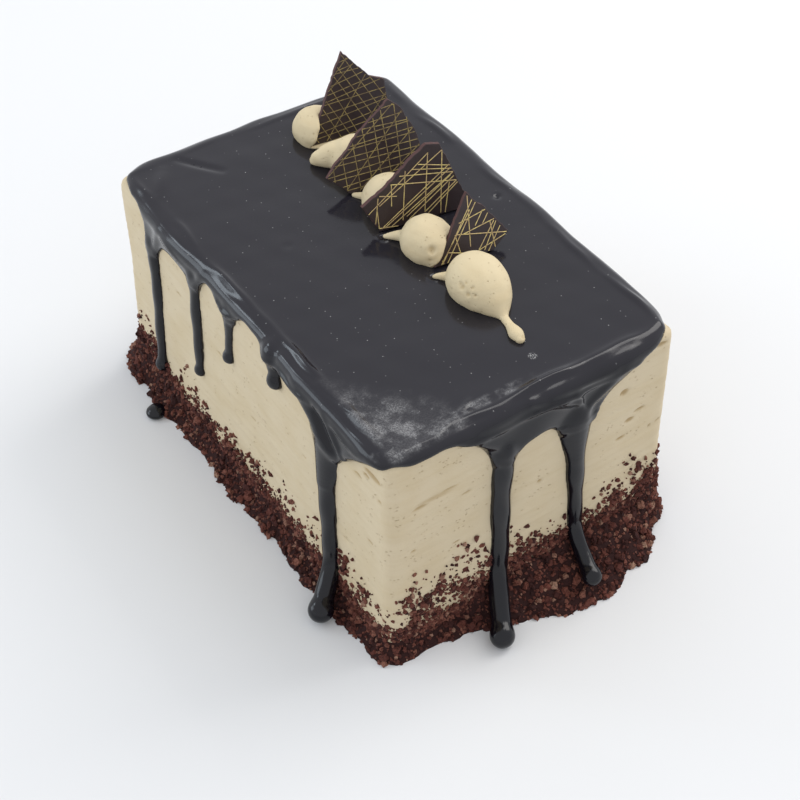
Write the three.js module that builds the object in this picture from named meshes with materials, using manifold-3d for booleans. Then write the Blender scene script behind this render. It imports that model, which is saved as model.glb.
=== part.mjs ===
// A mocha loaf cake: a block of sponge coated in coffee buttercream, a poured dark chocolate glaze that runs
// down the sides in trickles, a border of chocolate cake crumbs round the foot, and a row of piped cream
// teardrops with thin chocolate plates leaning between them. Millimetres, +Z up, the origin in the middle of
// the foot. The front is the short side at -Y, and the left is the long side at -X.
import * as THREE from 'three';
import { mergeVertices } from 'three/addons/utils/BufferGeometryUtils.js';
import Module from 'manifold-3d';

// ---- Driving dimensions ----
const WIDTH = 122;          // the short side, along X
const LENGTH = 187.4;       // the long side, along Y
const CREAM_TOP = 99.4;     // height of the cream under the glaze
const GLAZE_TOP = 102;      // height of the poured glaze
const CORNER = 5;           // radius of the upright corners
const CREAM_RIM = 4;        // radius of the cream's top edge
const GLAZE_RIM = 5.5;      // radius of the glaze's top edge
const FLARE = 1.8;          // how much wider the cream is at the foot
const WALL_COAT = 1.8;      // thickness of the glaze on the walls
const LIP = 1.4;            // height of the rounded lower edge of the glaze
const LIP_FOOT = 1.1;       // how far that edge stands off the cream at its foot
const GAP = 0.3;            // air left between pieces that touch
const SLOPE_TOP = 26;       // height at which a long trickle starts to slide outwards over the crumbs
const CORNER_EDGE = 98;     // the highest that the glaze's lower edge runs, as it does round the corners
const PLATE = 2;            // thickness of the chocolate plates

// How far each upright corner stands off a true rectangle: the block was cut and coated by hand.
const CORNER_SHIFT = {
  frontLeft: [0, 0], frontRight: [1.8, -1.4], backRight: [-0.5, -1.2], backLeft: [-1.5, 3.2],
};

const COLOURS = {
  cream: { color: '#d3c29c', roughness: 0.75, metalness: 0 },
  glaze: { color: '#23242a', roughness: 0.2, metalness: 0 },
  crumb: { color: '#4a241c', roughness: 0.95, metalness: 0 },
  piped: { color: '#e0cba2', roughness: 0.6, metalness: 0 },
  plate: { color: '#2e1f1f', roughness: 0.4, metalness: 0 },
};

// ---- The four sides ----
// A place on a side is (along, out, z): along runs to the right as one faces the side, out leaves the wall.
const side = (name, turn, depth, width) => ({
  name, depth, width,
  along: new THREE.Vector2(Math.cos(turn), Math.sin(turn)),
  out: new THREE.Vector2(Math.sin(turn), -Math.cos(turn)),
});
const FRONT = side('front', 0, LENGTH / 2, WIDTH);
const RIGHT = side('right', Math.PI / 2, WIDTH / 2, LENGTH);
const BACK = side('back', Math.PI, LENGTH / 2, WIDTH);
const LEFT = side('left', -Math.PI / 2, WIDTH / 2, LENGTH);
const SIDES = [FRONT, RIGHT, BACK, LEFT];

/** Moves a point of the true rectangle to the hand-cut block. */
function handCut(x, y, z) {
  const u = x / WIDTH + 0.5;
  const v = y / LENGTH + 0.5;
  const weights = {
    frontLeft: (1 - u) * (1 - v), frontRight: u * (1 - v), backRight: u * v, backLeft: (1 - u) * v,
  };
  const point = new THREE.Vector3(x, y, z);
  for (const [corner, weight] of Object.entries(weights)) {
    point.x += weight * CORNER_SHIFT[corner][0];
    point.y += weight * CORNER_SHIFT[corner][1];
  }
  return point;
}

/** The point at a place on a side. */
function onSide(which, along, out, z) {
  const x = which.along.x * along + which.out.x * (which.depth + out);
  const y = which.along.y * along + which.out.y * (which.depth + out);
  return handCut(x, y, z);
}

/** How far the wall leans out at a height: the coat of cream is thicker towards the foot. */
function flareOut(z) {
  return FLARE * Math.max(0, 1 - z / CREAM_TOP) ** 2;
}

/** How far the cream's wall stands off the true wall at a height. */
function wallOut(z, grow = 0) {
  const rimStart = CREAM_TOP + grow - CREAM_RIM;
  const rise = Math.min(Math.max(z - rimStart, 0), CREAM_RIM);
  return flareOut(z) + grow - (CREAM_RIM - Math.sqrt(CREAM_RIM ** 2 - rise ** 2));
}

/** Stations round the block: each has its side, its place along it and the turn of its corner arc. */
function stationsRound(step, cornerSteps) {
  const stations = [];
  SIDES.forEach((which) => {
    const half = which.width / 2 - CORNER;
    const count = Math.ceil((2 * half) / step);
    for (let i = 0; i <= count; i += 1) {
      stations.push({ which, along: -half + (2 * half * i) / count, turn: 0 });
    }
    for (let i = 1; i < cornerSteps; i += 1) {
      stations.push({ which, along: half, turn: (Math.PI / 2) * (i / cornerSteps) });
    }
  });
  return stations;
}

/** The point at a station, a height and a distance out from the true wall. */
function atStation({ which, along, turn }, out, z) {
  const radius = CORNER + out;
  return onSide(which, along + radius * Math.sin(turn), radius * Math.cos(turn) - CORNER, z);
}

// ---- Solids ----
const wasm = await Module();
wasm.setup();

/** A closed skin through rings of points, with a fan over each end. */
function loft(rings) {
  const count = rings[0].length;
  const points = rings.flat();
  const index = [];
  for (let i = 0; i + 1 < rings.length; i += 1) {
    for (let j = 0; j < count; j += 1) {
      const a = i * count + j;
      const b = i * count + ((j + 1) % count);
      index.push(a, b, b + count, a, b + count, a + count);
    }
  }
  [rings[0], rings[rings.length - 1]].forEach((ring, end) => {
    const centre = points.length;
    const first = end === 0 ? 0 : (rings.length - 1) * count;
    points.push(ring.reduce((sum, p) => sum.add(p), new THREE.Vector3()).divideScalar(count));
    for (let j = 0; j < count; j += 1) {
      const a = first + j;
      const b = first + ((j + 1) % count);
      index.push(centre, ...(end === 0 ? [b, a] : [a, b]));
    }
  });
  const geometry = new THREE.BufferGeometry().setFromPoints(points);
  geometry.setIndex(volume(points, index) < 0 ? index.reverse() : index);
  return geometry;
}

/** Six times the volume that the triangles enclose. */
function volume(points, index) {
  let sum = 0;
  for (let i = 0; i < index.length; i += 3) {
    const [a, b, c] = [points[index[i]], points[index[i + 1]], points[index[i + 2]]];
    sum += a.dot(new THREE.Vector3().crossVectors(b, c));
  }
  return sum;
}

/** A geometry as a solid that can be joined and cut. */
function solid(geometry) {
  const bare = geometry.clone();
  bare.deleteAttribute('normal');
  bare.deleteAttribute('uv');
  const merged = mergeVertices(bare, 1e-4);
  return new wasm.Manifold(new wasm.Mesh({
    numProp: 3,
    vertProperties: new Float32Array(merged.attributes.position.array),
    triVerts: new Uint32Array(merged.index.array),
  }));
}

/** The largest piece of a solid: a cut can leave slivers beside it. */
function largest(whole) {
  return whole.decompose().reduce((best, piece) => (piece.volume() > best.volume() ? piece : best));
}

/** A named mesh of a solid. */
function piece(name, body, finish) {
  const { vertProperties, triVerts } = body.getMesh();
  const geometry = new THREE.BufferGeometry();
  geometry.setAttribute('position', new THREE.BufferAttribute(new Float32Array(vertProperties), 3));
  geometry.setIndex(new THREE.BufferAttribute(new Uint32Array(triVerts), 1));
  const mesh = new THREE.Mesh(geometry, new THREE.MeshStandardMaterial(finish));
  mesh.name = name;
  return mesh;
}

// ---- Beads: strands of cream or chocolate that lie on a surface ----
const BEAD_POINTS = 8;      // points across a bead
const UNDERCUT = 0.6;       // radians by which a bead's sides turn in under it

/** A ring across a bead: its middle on the surface, its sideways and upward directions, its half sizes. */
function beadRing(middle, sideways, up, halfWidth, thick) {
  const ring = [];
  for (let j = 0; j < BEAD_POINTS; j += 1) {
    const angle = -UNDERCUT + (Math.PI + 2 * UNDERCUT) * (j / (BEAD_POINTS - 1));
    const lift = (Math.sin(angle) + Math.sin(UNDERCUT)) / (1 + Math.sin(UNDERCUT));
    ring.push(middle.clone().addScaledVector(sideways, halfWidth * Math.cos(angle))
      .addScaledVector(up, thick * lift));
  }
  return ring;
}

/** A ball squashed onto the foot's plane. */
function ball(middle, halfWidth, halfHeight) {
  const geometry = new THREE.SphereGeometry(1, 10, 6);
  geometry.rotateX(Math.PI / 2);
  geometry.scale(halfWidth, halfWidth, halfHeight);
  geometry.translate(middle.x, middle.y, middle.z);
  return solid(geometry);
}

// ---- The cream-coated block ----
/** The block, or the room that it takes with a gap round it, which goes on below the foot. */
function creamBlock(grow) {
  const foot = grow > 0 ? -SUNK : 0;
  const top = CREAM_TOP + grow;
  const heights = [foot, 30, 65, top - CREAM_RIM, top - CREAM_RIM * 0.3, top];
  const stations = stationsRound(21, 4);
  return solid(loft(heights.map((z) => stations.map((s) => atStation(s, wallOut(z, grow), z)))));
}

// ---- The trickles of glaze ----
// root and end are heights: where the trickle leaves the coat and the middle of its end drop. mouth, neck and
// drop are half widths. slant is its sideways run on the wall. slide and reach are its sideways and outward
// run over the crumbs, for those that come down that far.
const trickles = (which, rows) => rows.map(([at, root, end, mouth, neck, drop, slant, slide, reach]) => (
  { side: which, at, root, end, mouth, neck, drop, slant, slide, reach }));
const TRICKLES = [
  ...trickles(FRONT, [
    [-13.6, 77, 4.6, 4.8, 3.6, 4.6, -1.4, -10.2, 18.4],
    [17.8, 75, 9.4, 7.4, 3.1, 3.9, 2.4, -4, 17.4],
  ]),
  ...trickles(RIGHT, [
    [-64, 84, 44, 4, 2.8, 3.2, 1, 0, 0],
    [-21, 80, 22, 4.6, 3.2, 3.4, -1.5, 0, 0],
    [17, 88, 67, 3.4, 2.4, 3.1, 0.5, 0, 0],
    [58, 85, 36, 3.8, 2.7, 3.1, 1.5, 0, 0],
  ]),
  ...trickles(BACK, [
    [-27, 85, 47, 4, 2.8, 3.2, -1, 0, 0],
    [24, 88, 63, 3.6, 2.5, 3.2, 0.8, 0, 0],
  ]),
  ...trickles(LEFT, [
    [-66.5, 80, 17, 3.2, 2.6, 2.8, -3.2, 0, 1],
    [-33.6, 87, 40, 3.6, 2.4, 2.8, -3.2, 0, 0],
    [-7.8, 89, 67.8, 3.4, 2.1, 3, -3.4, 0, 0],
    [21.6, 92, 84, 3.6, 3, 3.7, 1.8, 0, 0],
    [56.2, 79, 5.2, 8.2, 3.6, 4.9, 0.8, 9.6, 11.8],
  ]),
];
const FALLEN = { at: [-74.2, 63.3, 2.4], halfWidth: 4.6, halfHeight: 2.4 };     // a drop beside the crumbs
const STEP_DOWN = 8;        // length of a trickle between its rings
const THICKNESS = 0.85;     // a trickle's thickness over its half width
const THICKEST = 1.1;       // the half width, over the neck, past which a trickle gets no thicker
const TAPER = 0.25;         // part of its width that a trickle loses on the way down
const SUNK = 1;             // how deep a trickle starts inside the coat and the wall
const OVERLAP = 4;          // how far up inside the coat a trickle starts
const SLIDE_BEND = 1.3;     // how late a long trickle slides outwards: 1 is evenly
const SQUASH = 0.92;        // height over width of a drop that lies on the crumbs
const BULGE = 0.3;          // how far, of its size, a hanging drop stands further out than its trickle

/** Where a trickle's middle is, as a place on its side, a fraction of the way down. */
function tricklePlace({ at, root, end, slant, slide, reach }, fraction) {
  const start = root + OVERLAP;
  const z = start + (end - start) * fraction;
  const over = Math.max(0, (SLOPE_TOP - z) / (SLOPE_TOP - end)) ** SLIDE_BEND;
  return { along: at + slant * fraction + slide * over, out: wallOut(z) - SUNK + reach * over, z };
}

/** A trickle's half width at a height: its mouth narrows to the neck, the more slowly the wider it is. */
function trickleWidth({ root, end, mouth, neck }, z) {
  const fade = 3 * (mouth - neck);
  const tapered = neck * (1 - TAPER * ((root - z) / (root - end)));
  return tapered + (mouth - neck) * Math.min(1, Math.exp((z - root) / fade));
}

/** A trickle with the drop at its end. */
function trickle(spec, grow) {
  const rings = [];
  const steps = Math.ceil((spec.root - spec.end) / STEP_DOWN) + 2;
  for (let i = 0; i <= steps; i += 1) {
    const fraction = i / steps;
    const here = tricklePlace(spec, fraction);
    const above = tricklePlace(spec, fraction - 0.03);
    const middle = onSide(spec.side, here.along, here.out, here.z);
    const upstream = onSide(spec.side, above.along, above.out, above.z).sub(middle).normalize();
    const sideways = onSide(spec.side, here.along + 1, here.out, here.z).sub(middle).normalize();
    const up = new THREE.Vector3().crossVectors(sideways, upstream).normalize();
    const width = trickleWidth(spec, here.z);
    const thick = Math.min(width, spec.neck * THICKEST) * THICKNESS + SUNK;
    rings.push(beadRing(middle, sideways, up, width + grow, thick + grow));
  }
  const last = tricklePlace(spec, 1);
  const lies = spec.slide !== 0;
  const out = last.out + (lies ? 0 : spec.drop * BULGE);
  const halfHeight = spec.drop * (lies ? SQUASH : 1);
  const drop = ball(onSide(spec.side, last.along, out, last.z), spec.drop + grow, halfHeight + grow);
  return solid(loft(rings)).add(drop);
}

// ---- The glaze's coat ----
// The lower edge between one trickle and the next is an arch: its crown's height and how far the pull of a
// trickle reaches along it. Each side has one arch more than it has trickles.
const ARCHES = {
  front: [{ crown: 98, pull: 7.5 }, { crown: 82, pull: 2.6 }, { crown: 98, pull: 11 }],
  right: [{ crown: 98, pull: 5 }, { crown: 93, pull: 5 }, { crown: 95, pull: 4 }, { crown: 92, pull: 5 },
    { crown: 98, pull: 6 }],
  back: [{ crown: 98, pull: 6 }, { crown: 93, pull: 5 }, { crown: 98, pull: 5 }],
  left: [{ crown: 98, pull: 2 }, { crown: 90.5, pull: 5 }, { crown: 96, pull: 3.5 }, { crown: 97.5, pull: 3 },
    { crown: 94, pull: 6 }, { crown: 98, pull: 13 }],
};

/** The height of the coat's lower edge at a place on a side. */
function edgeHeight(which, along) {
  const here = TRICKLES.filter((spec) => spec.side === which);
  for (const spec of here) {
    if (Math.abs(along - spec.at) < spec.mouth) return spec.root;
  }
  const before = here.filter((spec) => spec.at < along).pop();
  const after = here.find((spec) => spec.at > along);
  const { crown, pull } = ARCHES[which.name][before ? here.indexOf(before) + 1 : 0];
  let height = crown;
  if (before) height -= (crown - before.root) * Math.exp(-(along - before.at - before.mouth) / pull);
  if (after) height -= (crown - after.root) * Math.exp(-(after.at - after.mouth - along) / pull);
  return height;
}

/** How far the coat's outside stands off the true wall at a height. */
function coatOut(z) {
  const rise = Math.min(Math.max(z - (GLAZE_TOP - GLAZE_RIM), 0), GLAZE_RIM);
  return flareOut(z) + WALL_COAT - (GLAZE_RIM - Math.sqrt(GLAZE_RIM ** 2 - rise ** 2));
}

// Two opposite corners of the cream stay bare: the glaze stops short of them.
const BARE = { sides: [FRONT, BACK], inset: 4.2, spread: 7 };

/** How far the glaze's edge is drawn in from the wall at a station: it fades away from the bare corners. */
function drawnIn({ which, along, turn }) {
  const before = BARE.sides.includes(which);
  const after = BARE.sides.some((near) => SIDES[(SIDES.indexOf(near) + 1) % SIDES.length] === which);
  if (!before && !after) return 0;
  const half = which.width / 2 - CORNER;
  const distance = before ? half - along : along + half + (turn > 0 ? which.width : CORNER);
  return BARE.inset * Math.exp(-((Math.max(0, distance) / BARE.spread) ** 2));
}

const RIM_STEPS = [0.06, 0.5, 1];       // rings round the rim, as parts of its quarter turn

/** The poured glaze without its trickles. It reaches into the cream, which is cut out of it later. */
function coat() {
  const rimStart = GLAZE_TOP - GLAZE_RIM;
  const stations = stationsRound(5, 3);
  const columns = stations.map((station) => {
    const height = station.turn > 0 ? CORNER_EDGE : edgeHeight(station.which, station.along);
    const edge = Math.min(CORNER_EDGE, height);
    const lip = edge + LIP;
    const start = Math.max(lip, rimStart);
    const angle = Math.asin(Math.min(1, (start - rimStart) / GLAZE_RIM));
    const rim = RIM_STEPS.map((f) => rimStart + GLAZE_RIM * Math.sin(angle + (Math.PI / 2 - angle) * f));
    const inset = drawnIn(station);
    return [
      atStation(station, wallOut(edge) - SUNK - inset, edge),
      atStation(station, wallOut(edge) + LIP_FOOT - inset, edge),
      ...[lip, ...rim].map((z) => atStation(station, coatOut(z) - inset, z)),
    ];
  });
  return solid(loft(columns[0].map((_, ring) => columns.map((column) => column[ring]))));
}

// ---- The crumb border ----
// Heights of the heap against the wall and how far its toe reaches out, at places round the foot.
const HEAP = [
  { side: FRONT, along: -55, height: 11, reach: 7.5 },
  { side: FRONT, along: -34, height: 9, reach: 9 },
  { side: FRONT, along: -14, height: 20, reach: 13 },
  { side: FRONT, along: 4, height: 21, reach: 18 },
  { side: FRONT, along: 28, height: 22, reach: 20 },
  { side: FRONT, along: 46, height: 24, reach: 13 },
  { side: FRONT, along: 55, height: 28, reach: 6 },
  { side: RIGHT, along: -60, height: 20, reach: 7 },
  { side: RIGHT, along: 10, height: 13, reach: 8.5 },
  { side: RIGHT, along: 80, height: 16, reach: 7.5 },
  { side: BACK, along: 0, height: 13, reach: 8.5 },
  { side: BACK, along: 55, height: 24, reach: 8 },
  { side: LEFT, along: -87, height: 27, reach: 8.5 },
  { side: LEFT, along: -62, height: 15, reach: 9 },
  { side: LEFT, along: 10, height: 13, reach: 9 },
  { side: LEFT, along: 84, height: 12, reach: 8 },
];
const HEAP_SECTION = [[1, 0], [0.92, 0.1], [0.5, 0.36], [0.16, 1]];   // of its reach, of its height
const HEAP_START = 1.1;     // its reach counts from here, a little outside the true wall
// The lumps of the heap: two waves each, with their lengths round the foot, phases and half heights.
const LUMPS = {
  height: { swing: 1.3, waves: [[23, 1], [11, 2]] },
  reach: { swing: 0.7, waves: [[31, 0.5], [14, 4]] },
};

/** How far round the foot a place is, from the middle of the front side. */
function roundTheFoot(which, along) {
  const quarter = (WIDTH + LENGTH) / 2;       // from the middle of one side to the middle of the next
  return quarter * SIDES.indexOf(which) + along;
}

/** The heap's height and reach at a station, with lumps. */
function heapAt(station) {
  const whole = 2 * (WIDTH + LENGTH);
  const here = roundTheFoot(station.which, station.along + station.turn * CORNER);
  const keys = HEAP.map((key) => ({ ...key, at: roundTheFoot(key.side, key.along) }));
  const next = keys.findIndex((key) => key.at > here);
  const b = keys[next === -1 ? 0 : next];
  const a = keys[(next === -1 ? keys.length : next) - 1] ?? keys[keys.length - 1];
  const span = (b.at - a.at + whole) % whole;
  const f = THREE.MathUtils.smoothstep(((here - a.at + whole) % whole) / span, 0, 1);
  const lumps = ({ swing, waves }) => (
    swing * waves.reduce((sum, [pitch, phase]) => sum + Math.sin((here * 2 * Math.PI) / pitch + phase), 0));
  return {
    height: THREE.MathUtils.lerp(a.height, b.height, f) + lumps(LUMPS.height),
    reach: THREE.MathUtils.lerp(a.reach, b.reach, f) + lumps(LUMPS.reach),
  };
}

/** The whole heap round the foot, before the block and the trickles are cut out of it. */
function heap() {
  const stations = stationsRound(6, 3);
  const sizes = stations.map(heapAt);
  return solid(loft(HEAP_SECTION.map(([outward, upward]) => stations.map((station, i) => {
    const z = sizes[i].height * upward;
    return atStation(station, HEAP_START + sizes[i].reach * outward, z);
  }))));
}

// ---- The piped teardrops ----
// The middle of each head and its radius. Each trails forwards, and all but the last have a small lobe that
// was pushed out behind them to the left.
const TEARDROPS = [
  { at: [13.7, -38.8], radius: 11.1, length: 44.2, lobe: { tip: [4.6, -25.4], root: [13, -34], half: 1.7 } },
  { at: [12, -9.9], radius: 10.1, length: 23, lobe: { tip: [2.2, 3.6], root: [12, -6], half: 2 } },
  { at: [14.1, 17.5], radius: 10.5, length: 23, lobe: { tip: [6, 31], root: [14, 21], half: 1.2 } },
  { at: [17.3, 44.8], radius: 10.6, length: 23, lobe: { tip: [4.2, 56.5], root: [15, 49], half: 3.6 } },
  { at: [14.7, 71.8], radius: 9.4, length: 21, lobe: null },
];
const DECK = GLAZE_TOP + GAP;
const HEAD_RISE = 1.26;     // height of a head, a low dome, over its radius
const LOBE_RISE = 1.8;      // height of a lobe over its half width
const THINNEST = 0.4;       // the smallest radius of a strand, at its ends

// The tail of a long teardrop: the first one's, drawn out to a neck with a small knob before its end.
const TAIL = { neck: 1.6, knob: 1.3, knobFromEnd: 4.6, knobLength: 3.2, cone: 19, close: 1.6, swing: -2.7 };

/** Whether a teardrop trails so far that its tail is a strand. */
const isLong = ({ radius, length }) => length > 3 * radius;

/** The radius of a teardrop at a distance from its back end. */
function teardropRadius({ radius, length }, t) {
  if (t < radius) return Math.sqrt(Math.max(0, radius ** 2 - (t - radius) ** 2));
  const left = Math.max(0, length - t);
  if (!isLong({ radius, length })) return radius * Math.min(1, left / (length - radius)) ** 0.75;
  const knob = TAIL.knob * Math.exp(-(((left - TAIL.knobFromEnd) / TAIL.knobLength) ** 2));
  const fall = Math.cos((Math.PI / 2) * Math.min(1, (t - radius) / TAIL.cone)) ** 1.25;
  const tail = TAIL.neck + (radius - TAIL.neck) * fall + knob;
  return tail * Math.sqrt(Math.min(1, left / TAIL.close));
}

/** A strand that lies on the glaze: a ring for each distance along it, with its height over its radius. */
function strand(places, rise) {
  const up = new THREE.Vector3(0, 0, 1);
  return solid(loft(places.map(({ x, y, heading, radius }) => {
    const sideways = new THREE.Vector3(Math.cos(heading), Math.sin(heading), 0);
    return beadRing(new THREE.Vector3(x, y, DECK), sideways, up, radius, radius * rise);
  })));
}

/** A piped teardrop with its lobe. Its rings lie closer together towards both ends. */
function teardrop(spec) {
  const steps = isLong(spec) ? 16 : 11;
  const ends = 0.012;         // the part of its length before the first ring and after the last
  const places = [];
  for (let i = 0; i <= steps; i += 1) {
    const f = i / steps;
    const t = spec.length * (ends + (1 - 2 * ends) * (f - 0.1 * Math.sin(2 * Math.PI * f)));
    const radius = Math.max(THINNEST, teardropRadius(spec, t));
    const trail = Math.max(0, (t - spec.radius) / (spec.length - spec.radius));
    const swing = isLong(spec) ? TAIL.swing * trail ** 2 : 0;
    places.push({ x: spec.at[0] + swing, y: spec.at[1] + spec.radius - t, heading: 0, radius });
  }
  const body = strand(places, HEAD_RISE);
  return spec.lobe ? body.add(lobe(spec.lobe)) : body;
}

/** The lobe behind a teardrop: a short strand that thickens from its tip. */
function lobe({ tip, root, half }) {
  const heading = Math.atan2(root[1] - tip[1], root[0] - tip[0]) + Math.PI / 2;
  const places = [0.02, 0.12, 0.4, 1].map((f) => ({
    x: tip[0] + (root[0] - tip[0]) * f,
    y: tip[1] + (root[1] - tip[1]) * f,
    heading,
    radius: half * Math.min(1.6, f * 1.2 + 0.9 * Math.sqrt(f)) + THINNEST / 2,
  }));
  return strand(places, LOBE_RISE);
}

// ---- The chocolate plates ----
// Each stands on the glaze at its foot, turned a little and leaning back on the teardrop behind it. Its
// outline is broken by hand: [across, up the plate] from the foot.
const PLATES = [
  {
    name: 'chocolate_shard_front', foot: [7.5, -22.1], lean: 22,
    outline: [[0, 0], [24, 0], [31, 5.9], [28, 9.9], [23.2, 17.3], [19.7, 20.8], [16.9, 24.9], [8.7, 12.2],
      [3.7, 4]],
  },
  {
    name: 'chocolate_shard_second', foot: [2.7, 6.5], lean: 12,
    outline: [[0, 0], [33, 0], [35.2, 6.8], [32.6, 13.4], [26.9, 29.1], [21.4, 30.4], [13.8, 25.6],
      [4.3, 17.9], [-6.4, 12], [-3.9, 7.1]],
  },
  {
    name: 'chocolate_shard_third', foot: [5.2, 31.5], lean: 20,
    outline: [[0, 0], [30, 0], [31.3, 12.3], [30, 18.5], [25.5, 28.4], [21, 32.6], [15.6, 28.6], [7.8, 23.5],
      [0.6, 16.5], [-4.8, 12.4], [-8.3, 8.4], [-4.5, 4.9]],
  },
  {
    name: 'chocolate_shard_back', foot: [8.5, 65.6], lean: 15,
    outline: [[0, 0], [33, 0], [34.6, 12], [34.2, 19.5], [28.3, 22.3], [24, 27.3], [18.1, 35], [10.1, 20.3]],
  },
];
const PLATE_TURN = THREE.MathUtils.degToRad(-10);
const ROOM_AHEAD = 14;      // how far in front of a plate the cream that is pressed by it is cut away

/** Where a plate stands: its face towards the front, tipped back by its lean. */
function plateMatrix({ foot, lean }) {
  const tilt = THREE.MathUtils.degToRad(lean);
  const lift = PLATE * Math.sin(tilt);
  const upright = new THREE.Matrix4().makeRotationX(Math.PI / 2 - tilt);
  return new THREE.Matrix4().makeTranslation(foot[0], foot[1], DECK + lift)
    .multiply(new THREE.Matrix4().makeRotationZ(PLATE_TURN)).multiply(upright);
}

function plateShape({ outline }) {
  return new THREE.Shape(outline.map(([across, up]) => new THREE.Vector2(across, up)));
}

/** The room that a plate takes, and all that would lie in front of it. */
function plateRoom(spec) {
  const depth = PLATE + 2 * GAP + ROOM_AHEAD;
  const room = new THREE.ExtrudeGeometry(plateShape(spec), { depth, bevelEnabled: false });
  room.translate(0, 0, -PLATE - GAP);
  room.applyMatrix4(plateMatrix(spec));
  return solid(room);
}

// ---- The cake ----
const cake = new THREE.Group();
cake.add(piece('cream_body', creamBlock(0), COLOURS.cream));

const block = creamBlock(GAP);
const glaze = TRICKLES.reduce((sum, spec) => sum.add(trickle(spec, 0)), coat()).subtract(block);
cake.add(piece('chocolate_glaze', largest(glaze), COLOURS.glaze));

const fallenDrop = (grow) => (
  ball(new THREE.Vector3(...FALLEN.at), FALLEN.halfWidth + grow, FALLEN.halfHeight + grow));
cake.add(piece('fallen_glaze_drop', fallenDrop(0), COLOURS.glaze));

const besides = TRICKLES.map((spec) => trickle(spec, GAP)).concat(fallenDrop(GAP), block);
const border = besides.reduce((sum, other) => sum.subtract(other), heap());
cake.add(piece('crumb_border', largest(border), COLOURS.crumb));

const rooms = PLATES.map(plateRoom);
TEARDROPS.forEach((spec, i) => {
  const behind = rooms[i - 1];
  const body = behind ? teardrop(spec).subtract(behind) : teardrop(spec);
  cake.add(piece(`piped_cream_${i + 1}`, largest(body), COLOURS.piped));
});

PLATES.forEach((spec) => {
  const geometry = new THREE.ExtrudeGeometry(plateShape(spec), { depth: PLATE, bevelEnabled: false });
  geometry.translate(0, 0, -PLATE);
  const mesh = new THREE.Mesh(geometry, new THREE.MeshStandardMaterial(COLOURS.plate));
  mesh.name = spec.name;
  mesh.applyMatrix4(plateMatrix(spec));
  cake.add(mesh);
});

export default cake;
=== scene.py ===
# %% [markdown]
# # A mocha loaf cake
# The cake is a loaf of sponge in a coat of coffee cream. A dark chocolate glaze was poured over the top and
# runs down the walls in trickles, crumbs are pressed round the foot, and a row of piped cream teardrops
# stands on the glaze with thin chocolate plates leaning between them.
#
# Sizes are in millimetres while a shape is worked out, because that is how a baker would measure it, and
# become metres when a mesh is made. The origin is in the middle of the foot, the front is the short side at
# -Y, and the left is the long side at -X.

# %% The frame
import math

import bpy
import numpy as np
from mathutils import Matrix, Vector, noise


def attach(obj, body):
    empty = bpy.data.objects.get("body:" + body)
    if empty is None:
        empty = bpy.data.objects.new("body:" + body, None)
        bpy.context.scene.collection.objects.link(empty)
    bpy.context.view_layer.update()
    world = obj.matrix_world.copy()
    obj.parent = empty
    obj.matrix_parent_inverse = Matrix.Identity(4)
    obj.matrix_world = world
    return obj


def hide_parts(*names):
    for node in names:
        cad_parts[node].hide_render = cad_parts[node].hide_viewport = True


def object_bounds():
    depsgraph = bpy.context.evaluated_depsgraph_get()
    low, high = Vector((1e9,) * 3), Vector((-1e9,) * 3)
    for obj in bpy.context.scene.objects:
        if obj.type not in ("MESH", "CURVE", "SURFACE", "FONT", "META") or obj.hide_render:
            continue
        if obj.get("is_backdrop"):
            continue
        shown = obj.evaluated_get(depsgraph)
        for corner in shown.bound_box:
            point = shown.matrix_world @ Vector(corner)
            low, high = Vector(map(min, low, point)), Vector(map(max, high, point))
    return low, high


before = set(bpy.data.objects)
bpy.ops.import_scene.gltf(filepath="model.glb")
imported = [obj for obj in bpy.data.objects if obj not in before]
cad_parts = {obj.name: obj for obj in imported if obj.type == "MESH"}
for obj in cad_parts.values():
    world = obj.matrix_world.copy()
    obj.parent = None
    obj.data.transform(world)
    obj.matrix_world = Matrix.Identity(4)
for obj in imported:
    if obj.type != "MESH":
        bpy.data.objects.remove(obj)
cad_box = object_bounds()
MM = 0.001
print("solids:", ", ".join(sorted(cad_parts)))

# %% [markdown]
# ## The camera
# The picture was taken from above the front left corner with a long lens, so the walls lean together only a
# little. The camera's place and the point that it looks at are real distances from the cake's foot. A small
# roll levels the picture.

# %% The camera
CAMERA_AT = Vector((-273.30, -423.42, 534.06)) * MM
LOOKS_AT = Vector((-14.19, -30.81, 53.49)) * MM
ROLL = -0.0111165           # radians
LENS = 79.72                # millimetres, on a sensor 36 mm wide


def camera_turn(place, target, roll):
    """The turn of a camera that looks at a target, level apart from its roll."""
    ahead = (target - place).normalized()
    right = ahead.cross(Vector((0, 0, 1))).normalized()
    up = right.cross(ahead)
    across = right * math.cos(roll) + up * math.sin(roll)
    return Matrix((across, (-ahead).cross(across), -ahead)).transposed()


lens = bpy.data.cameras.new("camera")
lens.lens = LENS
lens.sensor_width = 36
lens.clip_start = 0.01
camera = bpy.data.objects.new("camera", lens)
camera.matrix_world = (Matrix.Translation(CAMERA_AT)
                       @ camera_turn(CAMERA_AT, LOOKS_AT, ROLL).to_4x4())
bpy.context.scene.collection.objects.link(camera)
bpy.context.scene.camera = camera
bpy.context.scene.view_settings.view_transform = "Standard"
print("camera at", [round(c, 3) for c in camera.location])

# %% [markdown]
# ## Light
# A mirror-like glaze shows the room more than its own colour. So the room is a plain pale one, which the flat
# top mirrors as an even dark grey, and the lamps stand where only slopes mirror them. The large soft lamp on
# the right models the piped heads, a smaller one overhead draws the bright lines along the front ridges, and
# two cool windows behind on the left put the blue-grey sheen on the folds there. A single strong lamp would
# be simpler, but it would leave either a white patch on the top or no sheen on the folds.

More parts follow.
